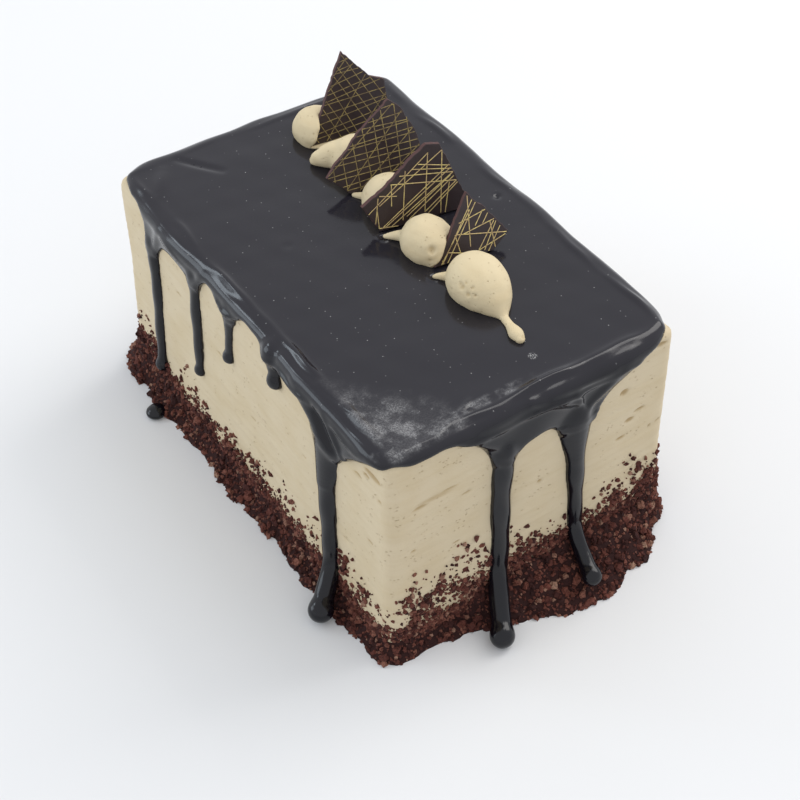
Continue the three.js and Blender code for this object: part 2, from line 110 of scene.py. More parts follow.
# %% Light
def area_lamp(name, place, target, size, power, colour):
    """A square soft lamp that shines at a target."""
    lamp = bpy.data.lights.new(name, "AREA")
    lamp.size = size
    lamp.energy = power
    lamp.color = colour
    holder = bpy.data.objects.new(name, lamp)
    holder.location = place
    holder.rotation_euler = (Vector(target) - Vector(place)).to_track_quat("-Z", "Y").to_euler()
    bpy.context.scene.collection.objects.link(holder)
    return holder


CAKE_MIDDLE = (0, 0, 0.06)
ROOM_COLOUR, ROOM_LIGHT = (0.96, 0.97, 1, 1), 0.93
DAYLIGHT = (0.80, 0.91, 1)
area_lamp("soft_lamp", (1.15, 0.0, 1.1), CAKE_MIDDLE, 0.9, 9, (1, 0.97, 0.93))
area_lamp("ceiling_lamp", (0.53, 0.05, 1.28), CAKE_MIDDLE, 0.5, 2.4, (1, 0.98, 0.95))
area_lamp("window", (-0.98, 0.66, 0.30), CAKE_MIDDLE, 0.58, 2.6, DAYLIGHT)
area_lamp("second_window", (-0.66, 0.76, 0.70), CAKE_MIDDLE, 0.22, 0.9, DAYLIGHT)

world = bpy.data.worlds.new("white_room")
world.use_nodes = True
backdrop = world.node_tree.nodes["Background"]
backdrop.inputs["Color"].default_value = ROOM_COLOUR
backdrop.inputs["Strength"].default_value = ROOM_LIGHT
bpy.context.scene.world = world


# %% [markdown]
# ## Writing materials as sums
# A material is a tree of nodes. It could be joined up by hand in the editor, but a tree that is written down
# can be read and changed. To keep it short, a `Wire` wraps one output, so that `1 - mask * 0.5` adds the Math
# nodes by itself, and a `Paint` adds every other node with its settings and inputs named.

# %% Wires and paints
class Wire:
    """One output of a node, which can be used in sums."""

    def __init__(self, tree, socket):
        self.tree = tree
        self.socket = socket

    def sum(self, operation, *values, clamp=False):
        """A Math node on this value and others."""
        inputs = dict(enumerate(values))
        return self.tree.node("ShaderNodeMath", inputs, operation=operation, use_clamp=clamp)

    def __add__(self, other):
        return self.sum("ADD", self, other)

    def __mul__(self, other):
        return self.sum("MULTIPLY", self, other)

    def __sub__(self, other):
        return self.sum("SUBTRACT", self, other)

    def __rsub__(self, other):
        return self.sum("SUBTRACT", other, self)

    def __pow__(self, other):
        return self.sum("POWER", self, other)

    __radd__ = __add__
    __rmul__ = __mul__

    def between(self, low, high):
        """0 below low, 1 above high, and smooth between them. With high below low it falls."""
        inputs = {"Value": self, "From Min": min(low, high), "From Max": max(low, high)}
        rise = self.tree.node("ShaderNodeMapRange", inputs, interpolation_type="SMOOTHSTEP")
        return rise if high > low else 1 - rise


class Tree:
    """A tree of nodes that is written as sums and as named inputs."""

    def __init__(self, tree):
        self.tree = tree

    def node(self, kind, inputs=None, out=0, stops=None, **settings):
        """A node of any kind: its settings come first, then the values or wires of its inputs."""
        made = self.tree.nodes.new(kind)
        for name, value in settings.items():
            setattr(made, name, value)
        if stops:
            ramp = made.color_ramp.elements
            while len(ramp) < len(stops):
                ramp.new(1)
            for stop, (position, colour) in zip(ramp, stops):
                stop.position = position
                stop.color = (*colour, 1)
        for name, value in (inputs or {}).items():
            if isinstance(value, Wire):
                self.tree.links.new(value.socket, made.inputs[name])
            else:
                made.inputs[name].default_value = value
        return Wire(self, made.outputs[out]) if made.outputs else None


class Paint(Tree):
    """A material being mixed."""

    def __init__(self, name):
        self.material = bpy.data.materials.new(name)
        self.material.use_nodes = True
        super().__init__(self.material.node_tree)
        self.tree.nodes.clear()
        self.place = self.node("ShaderNodeTexCoord", out="Object")

    def stretched(self, x, y, z):
        """The place on the piece with each direction scaled: a pattern on it has lumps 1 / scale long."""
        return self.node("ShaderNodeVectorMath", {0: self.place, 1: (x, y, z)}, operation="MULTIPLY")

    def cloud(self, size, detail=2, roughness=0.5, place=None):
        """A noise whose lumps are a given size in millimetres."""
        inputs = {"Vector": place or self.place, "Scale": 1 / (size * MM) if place is None else 1,
                  "Detail": detail, "Roughness": roughness}
        return self.node("ShaderNodeTexNoise", inputs, out="Fac")

    def mixed(self, factor, first, second):
        """A colour between two colours."""
        inputs = {0: factor, 6: as_colour(first), 7: as_colour(second)}
        return self.node("ShaderNodeMix", inputs, out=2, data_type="RGBA")

    def either(self, first, second):
        """The larger of two masks."""
        return self.node("ShaderNodeMath", {0: first, 1: second}, operation="MAXIMUM")

    def axes(self):
        """The place's x, y and z in millimetres."""
        parts = self.node("ShaderNodeSeparateXYZ", {0: self.place}).socket.node
        return [Wire(self, parts.outputs[i]) * 1000 for i in range(3)]

    def finish(self, height=None, depth=0.0, **inputs):
        """The shader itself, with an optional bump of a given depth in millimetres."""
        values = {name.replace("_", " "): as_colour(value) for name, value in inputs.items()}
        if height is not None:
            bump = {"Height": height, "Distance": depth * MM, "Strength": 1.0}
            values["Normal"] = self.node("ShaderNodeBump", bump)
        shader = self.node("ShaderNodeBsdfPrincipled", values)
        self.node("ShaderNodeOutputMaterial", {"Surface": shader})
        return self.material


def as_colour(value):
    """Three numbers as a colour with its alpha, and anything else as it is."""
    return (*value, 1) if isinstance(value, tuple) and len(value) == 3 else value


# %% [markdown]
# ## The block and its four sides
# The cake was cut and coated by hand, so its corners stand a little off a true rectangle. Every shape is
# worked out on the true rectangle first, and `hand_cut` then moves it to the real corners. A place on a side
# is told as `along` (to the right as one faces the side), `out` (away from the wall) and height.

# %% The block and its sides
WIDTH, LENGTH = 122.0, 187.4
CREAM_TOP, GLAZE_TOP = 99.4, 102.0
CORNER = 5.0                # radius of the upright corners
CREAM_RIM, GLAZE_RIM = 4.0, 5.5     # radii of the top edges
FLARE = 1.8                 # how much wider the cream is at the foot
WALL_COAT = 1.9             # thickness of the glaze on the walls
PLATE = 2.0                 # thickness of the chocolate plates
DECK = GLAZE_TOP + 0.3      # where the piped cream and the plates stand
# How far the corners stand off the true ones: front left, front right, back right, back left.
CORNER_SHIFT = np.array([(0, 0), (1.8, -1.4), (-0.5, -1.2), (-1.5, 3.2)])
SIDES = ("front", "right", "back", "left")
SIDE_ALONG = np.array([(1, 0), (0, 1), (-1, 0), (0, -1)], float)
SIDE_OUT = np.array([(0, -1), (1, 0), (0, 1), (-1, 0)], float)
SIDE_DEPTH = np.array([LENGTH, WIDTH, LENGTH, WIDTH]) / 2      # from the middle to each wall
SIDE_HALF = np.array([WIDTH, LENGTH, WIDTH, LENGTH]) / 2       # half the length of each wall


def hand_cut(points):
    """Points of the true block, moved to the hand-cut one."""
    u = points[..., 0] / WIDTH + 0.5
    v = points[..., 1] / LENGTH + 0.5
    weights = np.stack([(1 - u) * (1 - v), u * (1 - v), u * v, (1 - u) * v], -1)
    moved = np.array(points, float)
    moved[..., :2] += weights @ CORNER_SHIFT
    return moved


def true_block(points):
    """Where points of the hand-cut block lie on the true one."""
    found = np.array(points, float)
    for _ in range(3):
        found += points - hand_cut(found)
    return found


def flare(z):
    """How far the wall leans out at a height."""
    return FLARE * np.clip(1 - z / CREAM_TOP, 0, 1) ** 2


def on_side(side, along, out, z):
    """The hand-cut point at a place on a side."""
    along, out, z = np.broadcast_arrays(np.asarray(along, float), out, z)
    flat = along[..., None] * SIDE_ALONG[side] + (SIDE_DEPTH[side] + out)[..., None] * SIDE_OUT[side]
    return hand_cut(np.concatenate([flat, z[..., None]], -1))


def sides_of(points):
    """How far along and outside each of the four sides the points of the true block are."""
    along = points[:, :2] @ SIDE_ALONG.T
    out = points[:, :2] @ SIDE_OUT.T - SIDE_DEPTH
    return along, out


def wall_distance(points):
    """How far points of the true block are outside its upright walls with their round corners."""
    half = np.array([WIDTH, LENGTH]) / 2 - CORNER
    beyond = np.abs(points[:, :2]) - half
    outside = np.hypot(*np.maximum(beyond, 0).T)
    return outside + np.minimum(beyond.max(1), 0) - CORNER


print("block", WIDTH, "x", LENGTH, "x", GLAZE_TOP, "mm")

# %% [markdown]
# ## Shapes as distances
# Poured and piped things flow into each other, so they are made as a field: a function that tells how far any
# point is outside the shape. Two fields join in a soft fillet, a round edge is where two of them meet, and a
# ripple is simply taken away from the distance. Metaballs or a voxel remesh would also melt shapes together,
# but only a field gives each fillet, lip and ridge its own size. `skin` turns a field into a mesh: it looks
# at a grid of points, puts one corner in each cell that the surface crosses, joins the corners, and slides
# them onto the surface.

# %% Fields and their skin
def softly_joined(first, second, reach):
    """Two fields joined, with a fillet about as large as reach."""
    mix = np.clip(0.5 + 0.5 * (second - first) / reach, 0, 1)
    return second * (1 - mix) + first * mix - reach * mix * (1 - mix)


def softly_cut(first, second, reach):
    """What both fields have in common, with a soft edge."""
    return -softly_joined(-first, -second, reach)


def round_edge(first, second, radius):
    """What both fields have in common, with an edge of a true radius."""
    a, b = first + radius, second + radius
    return np.hypot(np.maximum(a, 0), np.maximum(b, 0)) + np.minimum(np.maximum(a, b), 0) - radius


def bead_chain(points, middles, radii):
    """How far points are outside a chain of balls, joined by the cones between them."""
    nearest = np.full(len(points), 99.0)
    for start, end, wide, narrow in zip(middles[:-1], middles[1:], radii[:-1], radii[1:]):
        run = end - start
        part = np.clip((points - start) @ run / max(run @ run, 1e-9), 0, 1)
        apart = np.linalg.norm(points - start - part[:, None] * run, axis=1)
        nearest = np.minimum(nearest, apart - wide - (narrow - wide) * part)
    return nearest


def ripple(points, size, seed, waves=9):
    """A smooth random pattern, mostly between -1 and 1, with lumps of a given size."""
    rng = np.random.default_rng(seed)
    heading = rng.normal(size=(3, waves))
    heading *= 2 * math.pi / (np.linalg.norm(heading, axis=0) * size * rng.uniform(1.2, 2.6, waves))
    return np.sin(points @ heading + rng.uniform(0, 6.28, waves)).sum(1) / math.sqrt(waves)


def field_on_grid(field, low, shape, step):
    """A field's values on a grid, worked out finely only near the surface."""
    coarse = 4
    rough = tuple(n // coarse + 2 for n in shape)
    places = np.stack(np.indices(rough), -1).reshape(-1, 3) * step * coarse + low
    rough_value = field(places).reshape(rough)
    near = np.abs(rough_value) < 2.2 * coarse * step
    for axis in range(3):
        near = near | np.roll(near, 1, axis)
    grown = [array.repeat(coarse, 0).repeat(coarse, 1).repeat(coarse, 2)[:shape[0], :shape[1], :shape[2]]
             for array in (rough_value, near)]
    value = np.where(grown[0] < 0, -9.0, 9.0)
    cells = np.argwhere(grown[1])
    value[grown[1]] = field(cells * step + low)
    return value


CUBE = np.array([(i, j, k) for i in (0, 1) for j in (0, 1) for k in (0, 1)])
CUBE_EDGES = [(a, b) for a in range(8) for b in range(a) if np.abs(CUBE[a] - CUBE[b]).sum() == 1]


def surface_net(value):
    """Corners, in grid steps, and four-sided faces of the surface where a grid's values turn negative."""
    inside = value < 0
    n = np.array(value.shape) - 1
    held = sum(inside[i:i + n[0], j:j + n[1], k:k + n[2]].astype(np.int8) for i, j, k in CUBE)
    crossed = (held > 0) & (held < 8)
    cells = np.argwhere(crossed)
    number = np.full(crossed.shape, -1)
    number[crossed] = np.arange(len(cells))
    total = np.zeros((len(cells), 3))
    count = np.zeros(len(cells))
    for a, b in CUBE_EDGES:
        value_a = value[tuple((cells + CUBE[a]).T)]
        value_b = value[tuple((cells + CUBE[b]).T)]
        cuts = (value_a < 0) != (value_b < 0)
        part = (value_a[cuts] / (value_a[cuts] - value_b[cuts]))[:, None]
        total[cuts] += cells[cuts] + CUBE[a] + part * (CUBE[b] - CUBE[a])
        count[cuts] += 1
    faces = []
    for axis in range(3):
        u, v = np.eye(3, dtype=int)[[(axis + 1) % 3, (axis + 2) % 3]]
        first = np.moveaxis(inside, axis, 0)
        turns = np.moveaxis(first[:-1] != first[1:], 0, axis)
        starts = np.argwhere(turns)
        starts = starts[((starts @ u) > 0) & ((starts @ v) > 0)
                        & ((starts @ u) < n @ u) & ((starts @ v) < n @ v)]
        around = [starts - a * u - b * v for a, b in ((0, 0), (1, 0), (1, 1), (0, 1))]
        ring = np.stack([number[tuple(cell.T)] for cell in around], 1)
        leaves = inside[tuple(starts.T)]
        faces.append(np.where(leaves[:, None], ring, ring[:, ::-1]))
    return total / count[:, None], np.concatenate(faces)


def slope_of(field, points, reach=0.05):
    """The direction in which a field grows at some points."""
    steps = np.eye(3) * reach
    return np.stack([field(points + s) - field(points - s) for s in steps], -1) / (2 * reach)


def new_piece(name, points, faces, *materials):
    """A mesh object of points in millimetres, shaded smooth."""
    mesh = bpy.data.meshes.new(name)
    mesh.from_pydata((np.asarray(points) * MM).tolist(), [], np.asarray(faces).tolist()
                     if isinstance(faces, np.ndarray) else faces)
    mesh.shade_smooth()
    for material in materials:
        mesh.materials.append(material)
    piece = bpy.data.objects.new(name, mesh)
    bpy.context.scene.collection.objects.link(piece)
    return piece


def skin(name, field, low, high, step, material):
    """The mesh of a field inside a box."""
    low, high = np.array(low, float), np.array(high, float)
    shape = tuple(np.ceil((high - low) / step).astype(int) + 1)
    corners, faces = surface_net(field_on_grid(field, low, shape, step))
    points = corners * step + low
    for _ in range(3):
        slope = slope_of(field, points)
        steep = np.maximum((slope ** 2).sum(1), 0.05)
        move = -slope * (field(points) / steep)[:, None]
        points += move * np.minimum(1, 0.5 * step / np.maximum(np.linalg.norm(move, axis=1), 1e-9))[:, None]
    piece = new_piece(name, points, faces, material)
    print(name, len(faces), "faces")
    return piece


def ring_faces(count, ring, above):
    """The four-sided faces between two rings of a number of points."""
    here = np.arange(count)
    after = (here + 1) % count
    ring, above = ring * count, above * count
    return np.column_stack([ring + here, ring + after, above + after, above + here])


def mark(piece, name, values):
    """Writes a number on each point of a piece, for a material or a tree to read."""
    attribute = piece.data.attributes.new(name, "FLOAT", "POINT")
    attribute.data.foreach_set("value", np.asarray(values, np.float32))


def applied(piece, kind, **settings):
    """A piece with one modifier worked into its mesh."""
    modifier = piece.modifiers.new(kind.lower(), kind)
    for name, value in settings.items():
        setattr(modifier, name, value)
    bpy.context.view_layer.update()
    evaluated = piece.evaluated_get(bpy.context.evaluated_depsgraph_get())
    mesh = bpy.data.meshes.new_from_object(evaluated)
    piece.modifiers.clear()
    piece.data = mesh
    return piece


# %% [markdown]
# ## The coat of coffee cream
# Buttercream is spread on the sponge and smoothed with a palette knife. The knife leaves long level streaks,
# and where it lifts off, small torn pits. A finely divided cube could be sculpted, or the streaks left to a
# bump, but streaks and pits that are real geometry catch the light from every side. So the coat is one skin
# of rings of points round the block, from the foot over the rim to the middle of the top. The points lie
# closer together in height than along the wall, because the streaks are long and thin. How deep a pit is goes
# into an attribute, so that the material can darken it.

# %% The cream's shape
RING_STEP = 1.08            # millimetres between the points of a ring
LEVEL_STEP = 0.72           # millimetres between the rings of the wall
STREAK = 0.17               # height of the palette knife's streaks
WAVE = 0.45                 # height of the broad waves in the wall
# Torn pits: side, along, height, half length, half height, depth.
PITS = (
    ("front", 54, 95.5, 2.6, 0.8, 0.9), ("front", 39, 80, 1.7, 1.3, 1.0), ("front", 42.5, 64, 2.0, 0.8, 0.9),
    ("front", 47, 67, 2.3, 0.7, 0.8), ("front", 39, 56.5, 2.4, 0.6, 0.7), ("front", 57, 55.5, 1.3, 0.6, 0.9),
    ("front", 53, 55, 0.7, 0.6, 0.8), ("front", 3, 55, 1.0, 0.6, 0.9), ("front", -29, 69, 2.2, 0.5, 0.6),
    ("front", -42, 74.6, 9, 1.6, 0.32), ("front", -36, 75.8, 4, 0.6, 0.4), ("front", -48, 73, 3.4, 0.8, 0.5),
    ("front", -33, 45, 1.6, 0.5, 0.6), ("front", -51, 52, 1.3, 0.5, 0.6),
    ("left", 75, 81, 2.2, 0.6, 0.7), ("left", 82, 52, 1.6, 0.6, 0.7), ("left", 66, 38, 1.8, 0.5, 0.6),
    ("left", 22, 79, 4.0, 0.5, 0.4), ("left", -20, 62, 2.2, 0.6, 0.6), ("left", 3, 46, 1.6, 0.5, 0.7),
    ("left", -50, 70, 2.0, 0.6, 0.6), ("left", 40, 58, 1.1, 0.5, 0.8), ("left", 84, 88, 4.6, 1.3, 0.9),
    ("left", 80, 85, 1.8, 0.8, 0.9), ("left", 88, 79, 1.4, 0.5, 0.6),
)
TEARING = 1.35              # how much deeper all the pits are torn
DEEPEST = 0.7               # millimetres at which a pit counts as fully hollow
SPARE_PITS = 26             # more of them on the right and the back
# The cream stands up a little where the glaze leaves a corner bare: x, y and height.
BARE_CORNERS = ((62.0, -94.0, 0.9), (-61.5, 96.0, 0.6))


def ring_stations():
    """Stations round the block: the side, the place along it and the turn round its corner."""
    stations = []
    for side in range(4):
        half = SIDE_HALF[side] - CORNER
        count = int(math.ceil(2 * half / RING_STEP))
        stations += [(side, -half + 2 * half * i / count, 0.0) for i in range(count + 1)]
        stations += [(side, half, math.pi / 2 * i / 6) for i in range(1, 6)]
    return np.array(stations)


def ring_at(stations, out, z):
    """The true block's points at stations, a distance out from the wall and a height."""
    side = stations[:, 0].astype(int)
    radius = CORNER + out
    along = stations[:, 1] + radius * np.sin(stations[:, 2])
    away = SIDE_DEPTH[side] - CORNER + radius * np.cos(stations[:, 2])
    flat = along[:, None] * SIDE_ALONG[side] + away[:, None] * SIDE_OUT[side]
    return np.column_stack([flat, np.broadcast_to(z, len(stations))])


def all_pits():
    """The named pits and the spare ones as (side, along, height, half length, half height, depth)."""
    rng = np.random.default_rng(41)
    pits = [(SIDES.index(name), *sizes) for name, *sizes in PITS]
    for i in range(SPARE_PITS):
        side = (1, 2)[i % 3 == 0]
        pits.append((side, rng.uniform(-0.9, 0.9) * SIDE_HALF[side], rng.uniform(35, 90),
                     rng.uniform(0.8, 3.0), rng.uniform(0.45, 0.9), rng.uniform(0.5, 0.9)))
    return pits


def cream_relief(points):
    """How far the cream's wall stands out at points of the true block, and how deep its pits are there."""
    level = [noise.noise(Vector((x / 34, y / 34, z / 2.6))) for x, y, z in points]
    fine = [noise.noise(Vector((x / 12 + 9, y / 12, z / 1.3))) for x, y, z in points]
    relief = STREAK * (np.array(level) + 0.6 * np.array(fine)) + WAVE * 0.5 * ripple(points, 26, 3)
    along, out = sides_of(points)
    near = out.argmax(1)
    hollow = np.zeros(len(points))
    for side, at, height, long, tall, depth in all_pits():
        reach = ((along[:, side] - at) / long) ** 2 + ((points[:, 2] - height) / tall) ** 2
        hollow = np.maximum(hollow, np.where(near == side, TEARING * depth * np.exp(-reach ** 1.5), 0))
    return relief - hollow, hollow


def cream_skin(material):
    """The coat of cream as one closed mesh."""
    stations = ring_stations()
    straight = CREAM_TOP - CREAM_RIM
    levels = [(0.0, z) for z in np.linspace(0, straight, int(straight / LEVEL_STEP))]
    for turn in np.linspace(0, math.pi / 2, 8)[1:]:
        levels.append((CREAM_RIM * (math.cos(turn) - 1), straight + CREAM_RIM * math.sin(turn)))
    rings = []
    for out, z in levels:
        rings.append(ring_at(stations, out + flare(z), z))
    edge = rings[-1]
    rings += [edge * (shrink, shrink, 1) for shrink in (0.98, 0.955, 0.92, 0.86, 0.6)]
    points = np.concatenate(rings)
    relief, hollow = cream_relief(points)
    count = len(stations)
    height = points[:, 2]
    wall = np.clip((CREAM_TOP + 0.2 - height) / 1.2, 0, 1) * np.clip(height / 2, 0, 1)
    away = points[:, :2] / np.linalg.norm(points[:, :2], axis=1)[:, None]
    _, out = sides_of(points)
    near = out.argmax(1)
    corner = np.sort(out, 1)[:, -2] > -CORNER
    push = np.where(corner[:, None], away, SIDE_OUT[near])
    points[:, :2] += push * (relief * wall)[:, None]
    for x, y, lift in BARE_CORNERS:
        close = np.exp(-((points[:, 0] - x) ** 2 + (points[:, 1] - y) ** 2) / 4.5 ** 2)
        points[:, 2] += lift * close * (height > CREAM_TOP - 3) * (1 + 0.6 * ripple(points, 3, 8))
    walls = np.concatenate([ring_faces(count, ring, ring + 1) for ring in range(len(rings) - 1)]).tolist()
    top = [(len(rings) - 1) * count + i for i in range(count)]
    piece = new_piece("cream_coat", hand_cut(points), walls + [top, list(range(count))[::-1]], material)
    mark(piece, "hollow", np.clip(hollow / DEEPEST, 0, 1))
    print("cream_coat", len(walls), "faces, pits up to", round(hollow.max(), 2), "mm deep")
    return piece


# %% [markdown]
# Coffee buttercream is matt and a warm beige. Small open pores are scattered all over, and pores and pits
# are painted darker and yellower inside as painted shade, where the light doesn't reach. One plain colour
# would look like plastic, so two close beiges are mixed, and the finest grain is a bump, because it is too
# small to model.

# %% The cream's finish
def cream_paint(name, colour, warmer, pore_size, grain):
    """Buttercream: a colour with a warmer one in its streaks and patches, and painted shade in its pores and
    pits.
    """
    paint = Paint(name)
    streaks = paint.cloud(0, 3, place=paint.stretched(45, 45, 420))
    patches = paint.cloud(16, 2)
    flattened = paint.stretched(1, 1, 1.6)
    pores = paint.node("ShaderNodeTexVoronoi", {"Vector": flattened, "Scale": 1000 / pore_size})
    rare = paint.cloud(pore_size * 2.2, 1).between(0.535, 0.67)
    open_pore = pores.between(0.30, 0.12) * rare
    hollow = paint.node("ShaderNodeAttribute", attribute_name="hollow", out="Fac")
    shade = patches.between(0.35, 0.75) * 0.45 + streaks.between(0.42, 0.72) * 0.28
    deep = tuple(c * f for c, f in zip(colour, (0.66, 0.56, 0.40)))
    base = paint.mixed(shade, colour, warmer)
    # Painted shade: the open pores and the pits are mixed towards a darker, yellower colour.
    base = paint.mixed(open_pore * 0.55, base, deep)
    base = paint.mixed(hollow.between(0.15, 0.9) * 0.85, base, deep)
    relief = streaks * 0.5 + paint.cloud(grain, 3, 0.65) * 0.35 - open_pore * 0.9
    return paint.finish(relief, 0.28, Base_Color=base, Roughness=0.62 + patches * 0.12,
                        Specular_IOR_Level=0.35)


COFFEE_CREAM = cream_paint("coffee_cream", (0.61, 0.515, 0.355), (0.55, 0.445, 0.275), 1.9, 0.8)
cream_coat = cream_skin(COFFEE_CREAM)

# %% [markdown]
# ## The glaze
# The glaze sets in the shape in which it flowed: a flat pool on top with a thin raised line along the rim, a
# coat that hangs down the walls in arches, and trickles that run from the arches' feet. Each trickle ends in
# a drop. The long ones slide out over the crumbs before they stop. A fluid simulation could pour it, but
# couldn't be told where each trickle ends, and separate tubes would show where they are stuck on. So all of
# it is one field, in which every trickle flows out of the coat with a fillet.
#
# A trickle's row gives its place along its side, the heights of its root and its end drop, the half widths of
# its mouth, its neck and its drop, its slant on the wall, and how far it slides sideways and outwards over
# the crumbs.

# %% The trickles
TRICKLES = {
    "front": [(-13.6, 77, 4.6, 4.8, 4.5, 4.6, -1.4, -10.2, 18.4),
              (17.8, 75, 9.4, 7.4, 3.9, 3.9, 2.4, -4, 17.4)],
    "right": [(-64, 84, 44, 4, 3.5, 3.2, 1, 0, 0), (-21, 80, 22, 4.6, 4, 3.4, -1.5, 0, 0),
              (17, 88, 67, 3.4, 3, 3.1, 0.5, 0, 0), (58, 85, 36, 3.8, 3.4, 3.1, 1.5, 0, 0)],
    "back": [(-27, 85, 47, 4, 3.5, 3.2, -1, 0, 0), (24, 88, 63, 3.6, 3.1, 3.2, 0.8, 0, 0)],
    "left": [(-66.5, 80, 17, 3.2, 3.2, 2.8, -3.2, 0, 1), (-33.6, 87, 40, 3.6, 3, 2.8, -3.2, 0, 0),
             (-7.8, 89, 67.8, 3.4, 2.6, 3, -3.4, 0, 0), (21.6, 92, 84, 3.6, 3.8, 3.7, 1.8, 0, 0),
             (56.2, 79, 5.2, 8.2, 4.5, 4.9, 0.8, 9.6, 11.8)],
}
# The arches between the trickles of a side: the crown's height, and how far the pull of a trickle reaches.
ARCHES = {
    "front": ((99.3, 7.5), (82, 2.6), (98, 11)),
    "right": ((98, 5), (93, 5), (95, 4), (92, 5), (98, 6)),
    "back": ((98, 6), (93, 5), (98, 5)),
    "left": ((98, 2), (90.5, 5), (96, 3.5), (97.5, 3), (94, 6), (99.3, 13)),
}
HIGHEST_EDGE = 99.3         # the glaze's lower edge never runs higher than this
# Where an arch hangs lower near its corner: the place along the side, the half width and how much lower.
SAGS = {"front": (-50, 9, 3.0), "left": (72, 11, 3.0)}
SLOPE_TOP = 26.0            # height at which a long trickle starts to slide outwards
LIP = 2.2                   # radius of the glaze's lower edge
THICKNESS = 0.85            # a trickle's thickness over its half width
BEAD_STEP = 1.5             # millimetres between the balls of a trickle


def lower_edge(side):
    """The height of the coat's lower edge at every quarter millimetre of a side."""
    name = SIDES[side]
    along = np.arange(-SIDE_HALF[side] - 2, SIDE_HALF[side] + 2, 0.25)
    edge = np.full(len(along), 99.0)
    rows = TRICKLES[name]
    for i, (crown, pull) in enumerate(ARCHES[name]):
        low = rows[i - 1][0] if i else -999
        high = rows[i][0] if i < len(rows) else 999
        here = (along >= low) & (along < high)
        height = np.full(len(along), float(crown))
        if i:
            at, root, mouth = rows[i - 1][0], rows[i - 1][1], rows[i - 1][3]
            height -= (crown - root) * np.exp(-np.maximum(along - at - mouth, 0) / pull)
        if i < len(rows):
            at, root, mouth = rows[i][0], rows[i][1], rows[i][3]
            height -= (crown - root) * np.exp(-np.maximum(at - mouth - along, 0) / pull)
        edge[here] = height[here]
    if name in SAGS:
        at, wide, lower = SAGS[name]
        edge -= lower * np.exp(-((along - at) / wide) ** 2)
    edge += 0.25 * ripple(np.column_stack([along, along * 0, along * 0 + side * 40]), 5, 12)
    soft = np.hanning(9) / np.hanning(9).sum()
    return along, np.minimum(np.convolve(np.pad(edge, 4, "edge"), soft, "valid"), HIGHEST_EDGE)


def trickle_beads(side, row):
    """The middles and radii of a trickle's balls, and of the drop at its end."""
    at, root, end, mouth, neck, drop, slant, slide, reach = row
    top = root + 4
    part = np.linspace(0, 1, int((top - end + reach) / BEAD_STEP) + 2)
    z = top + (end - top) * part
    over = np.clip((SLOPE_TOP - z) / (SLOPE_TOP - end), 0, 1) ** 2.6
    tapered = neck * (1 - 0.20 * (root - z) / (root - end))
    wider = mouth - neck
    half = tapered + wider * np.minimum(1, np.exp((z - root) / (3 * (wider or 1))))
    half = half * (1 + 0.05 * np.sin(z * 0.31 + at))
    thick = THICKNESS * np.minimum(half, neck * 1.1)
    radius = (half ** 2 + thick ** 2) / (2 * thick)
    wander = 0.35 * np.sin(z * 0.09 + at)
    middles = on_side(side, at + slant * part + slide * over + wander * (1 - over),
                      flare(z) + thick - radius + reach * over, z)
    stands_off = 0.0 if slide else drop * 0.3
    last = on_side(side, at + slant + slide, flare(end) + reach - 1 + stands_off, end)
    return middles, radius, last, drop


RUNS = [(side, *trickle_beads(side, row)) for side, name in enumerate(SIDES) for row in TRICKLES[name]]
EDGES = [lower_edge(side) for side in range(4)]
print(len(RUNS), "trickles")

# %% [markdown]
# The coat itself is the block grown by the glaze's thickness, with its rounded rim. Below its lower edge it
# is cut off with a round lip, and at three corners it is drawn in, so that two of them are bare. Ridges and
# folds are what make a poured glaze look poured: a thin raised line runs along the rim where the pool ends, a
# second one below it, and folds run down towards the big trickles. A bump could fake them, but it would leave
# the outline smooth, so they are taken away from the distance.

# %% The glaze's field
# Corners where the glaze is drawn in: the sides on either hand, how far, and over what distance.
DRAWN_IN = ((0, 1, 4.6, 7.5), (2, 3, 4.6, 7.5), (3, 0, 2.2, 8.0))
# Folds that run over the rim: from x, y, z to x, y, z, then height and half width.
FOLDS = (
    ((-2, -95.5, 99.5), (17, -96.5, 90), 1.1, 1.8),
    ((6, -95.5, 98.5), (33, -96.5, 96.5), 1.0, 1.5),
    ((16, -97, 95), (21, -97, 80), 0.8, 1.8),
    ((40, -95.5, 97.5), (22, -97, 84), 0.9, 2.0),
    ((-30, -95.5, 98), (-13, -97, 84), 0.7, 2.2),
    ((-62.5, -38, 97), (-64, -61, 82), 1.1, 2.2),
    ((-62.5, -50, 95), (-64, -64, 84), -1.1, 1.7),
    ((-62.5, -56, 97), (-64, -70, 84), 1.0, 1.5),
    ((-62.5, -80, 97), (-64, -68, 86), 0.8, 1.6),
    ((-62.5, 60, 98), (-64, 66, 84), 0.6, 2.0),
    ((-62.5, 28, 98), (-64, 33, 89), 0.6, 1.8),
    ((-21, -84, 102), (-31, -88.5, 102), 0.45, 1.1),
    ((-28, -87, 102), (-42, -92.6, 101.8), 0.75, 0.95),
    ((-38, -91.6, 101.8), (-54, -91.2, 101.6), 0.8, 0.95),
    ((-52, -92.4, 101.6), (-57, -80, 101.8), 0.75, 0.95),
    ((-56, -88, 101.8), (-59, -48, 101.6), 0.55, 1.3),
    ((-61.5, -28, 99.5), (-61.5, -94, 97.5), 0.75, 2.2),
    ((-39, 89, 102), (-28, 73, 102), -0.6, 1.6),
    ((-55, 74, 102), (-47, 86, 102), 0.5, 3.0),
)
FOLDING = 1.5               # how strongly all the folds stand out
DROP_FILLET = 1.6           # how softly an end drop joins its trickle
COAT_FILLET = 2.4           # how softly the trickles flow out of the coat
# Small dents in the top: x, y, half width and depth.
DENTS = ((51.6, -0.4, 1.2, 1.1), (41, 47, 1.4, 0.5), (-30, 20, 2.0, 0.25))
# Rings that the wet glaze drew up round the tips of the piped cream: x and y.
DRAWN_UP = ((5.0, -25.4), (2.2, 3.6))
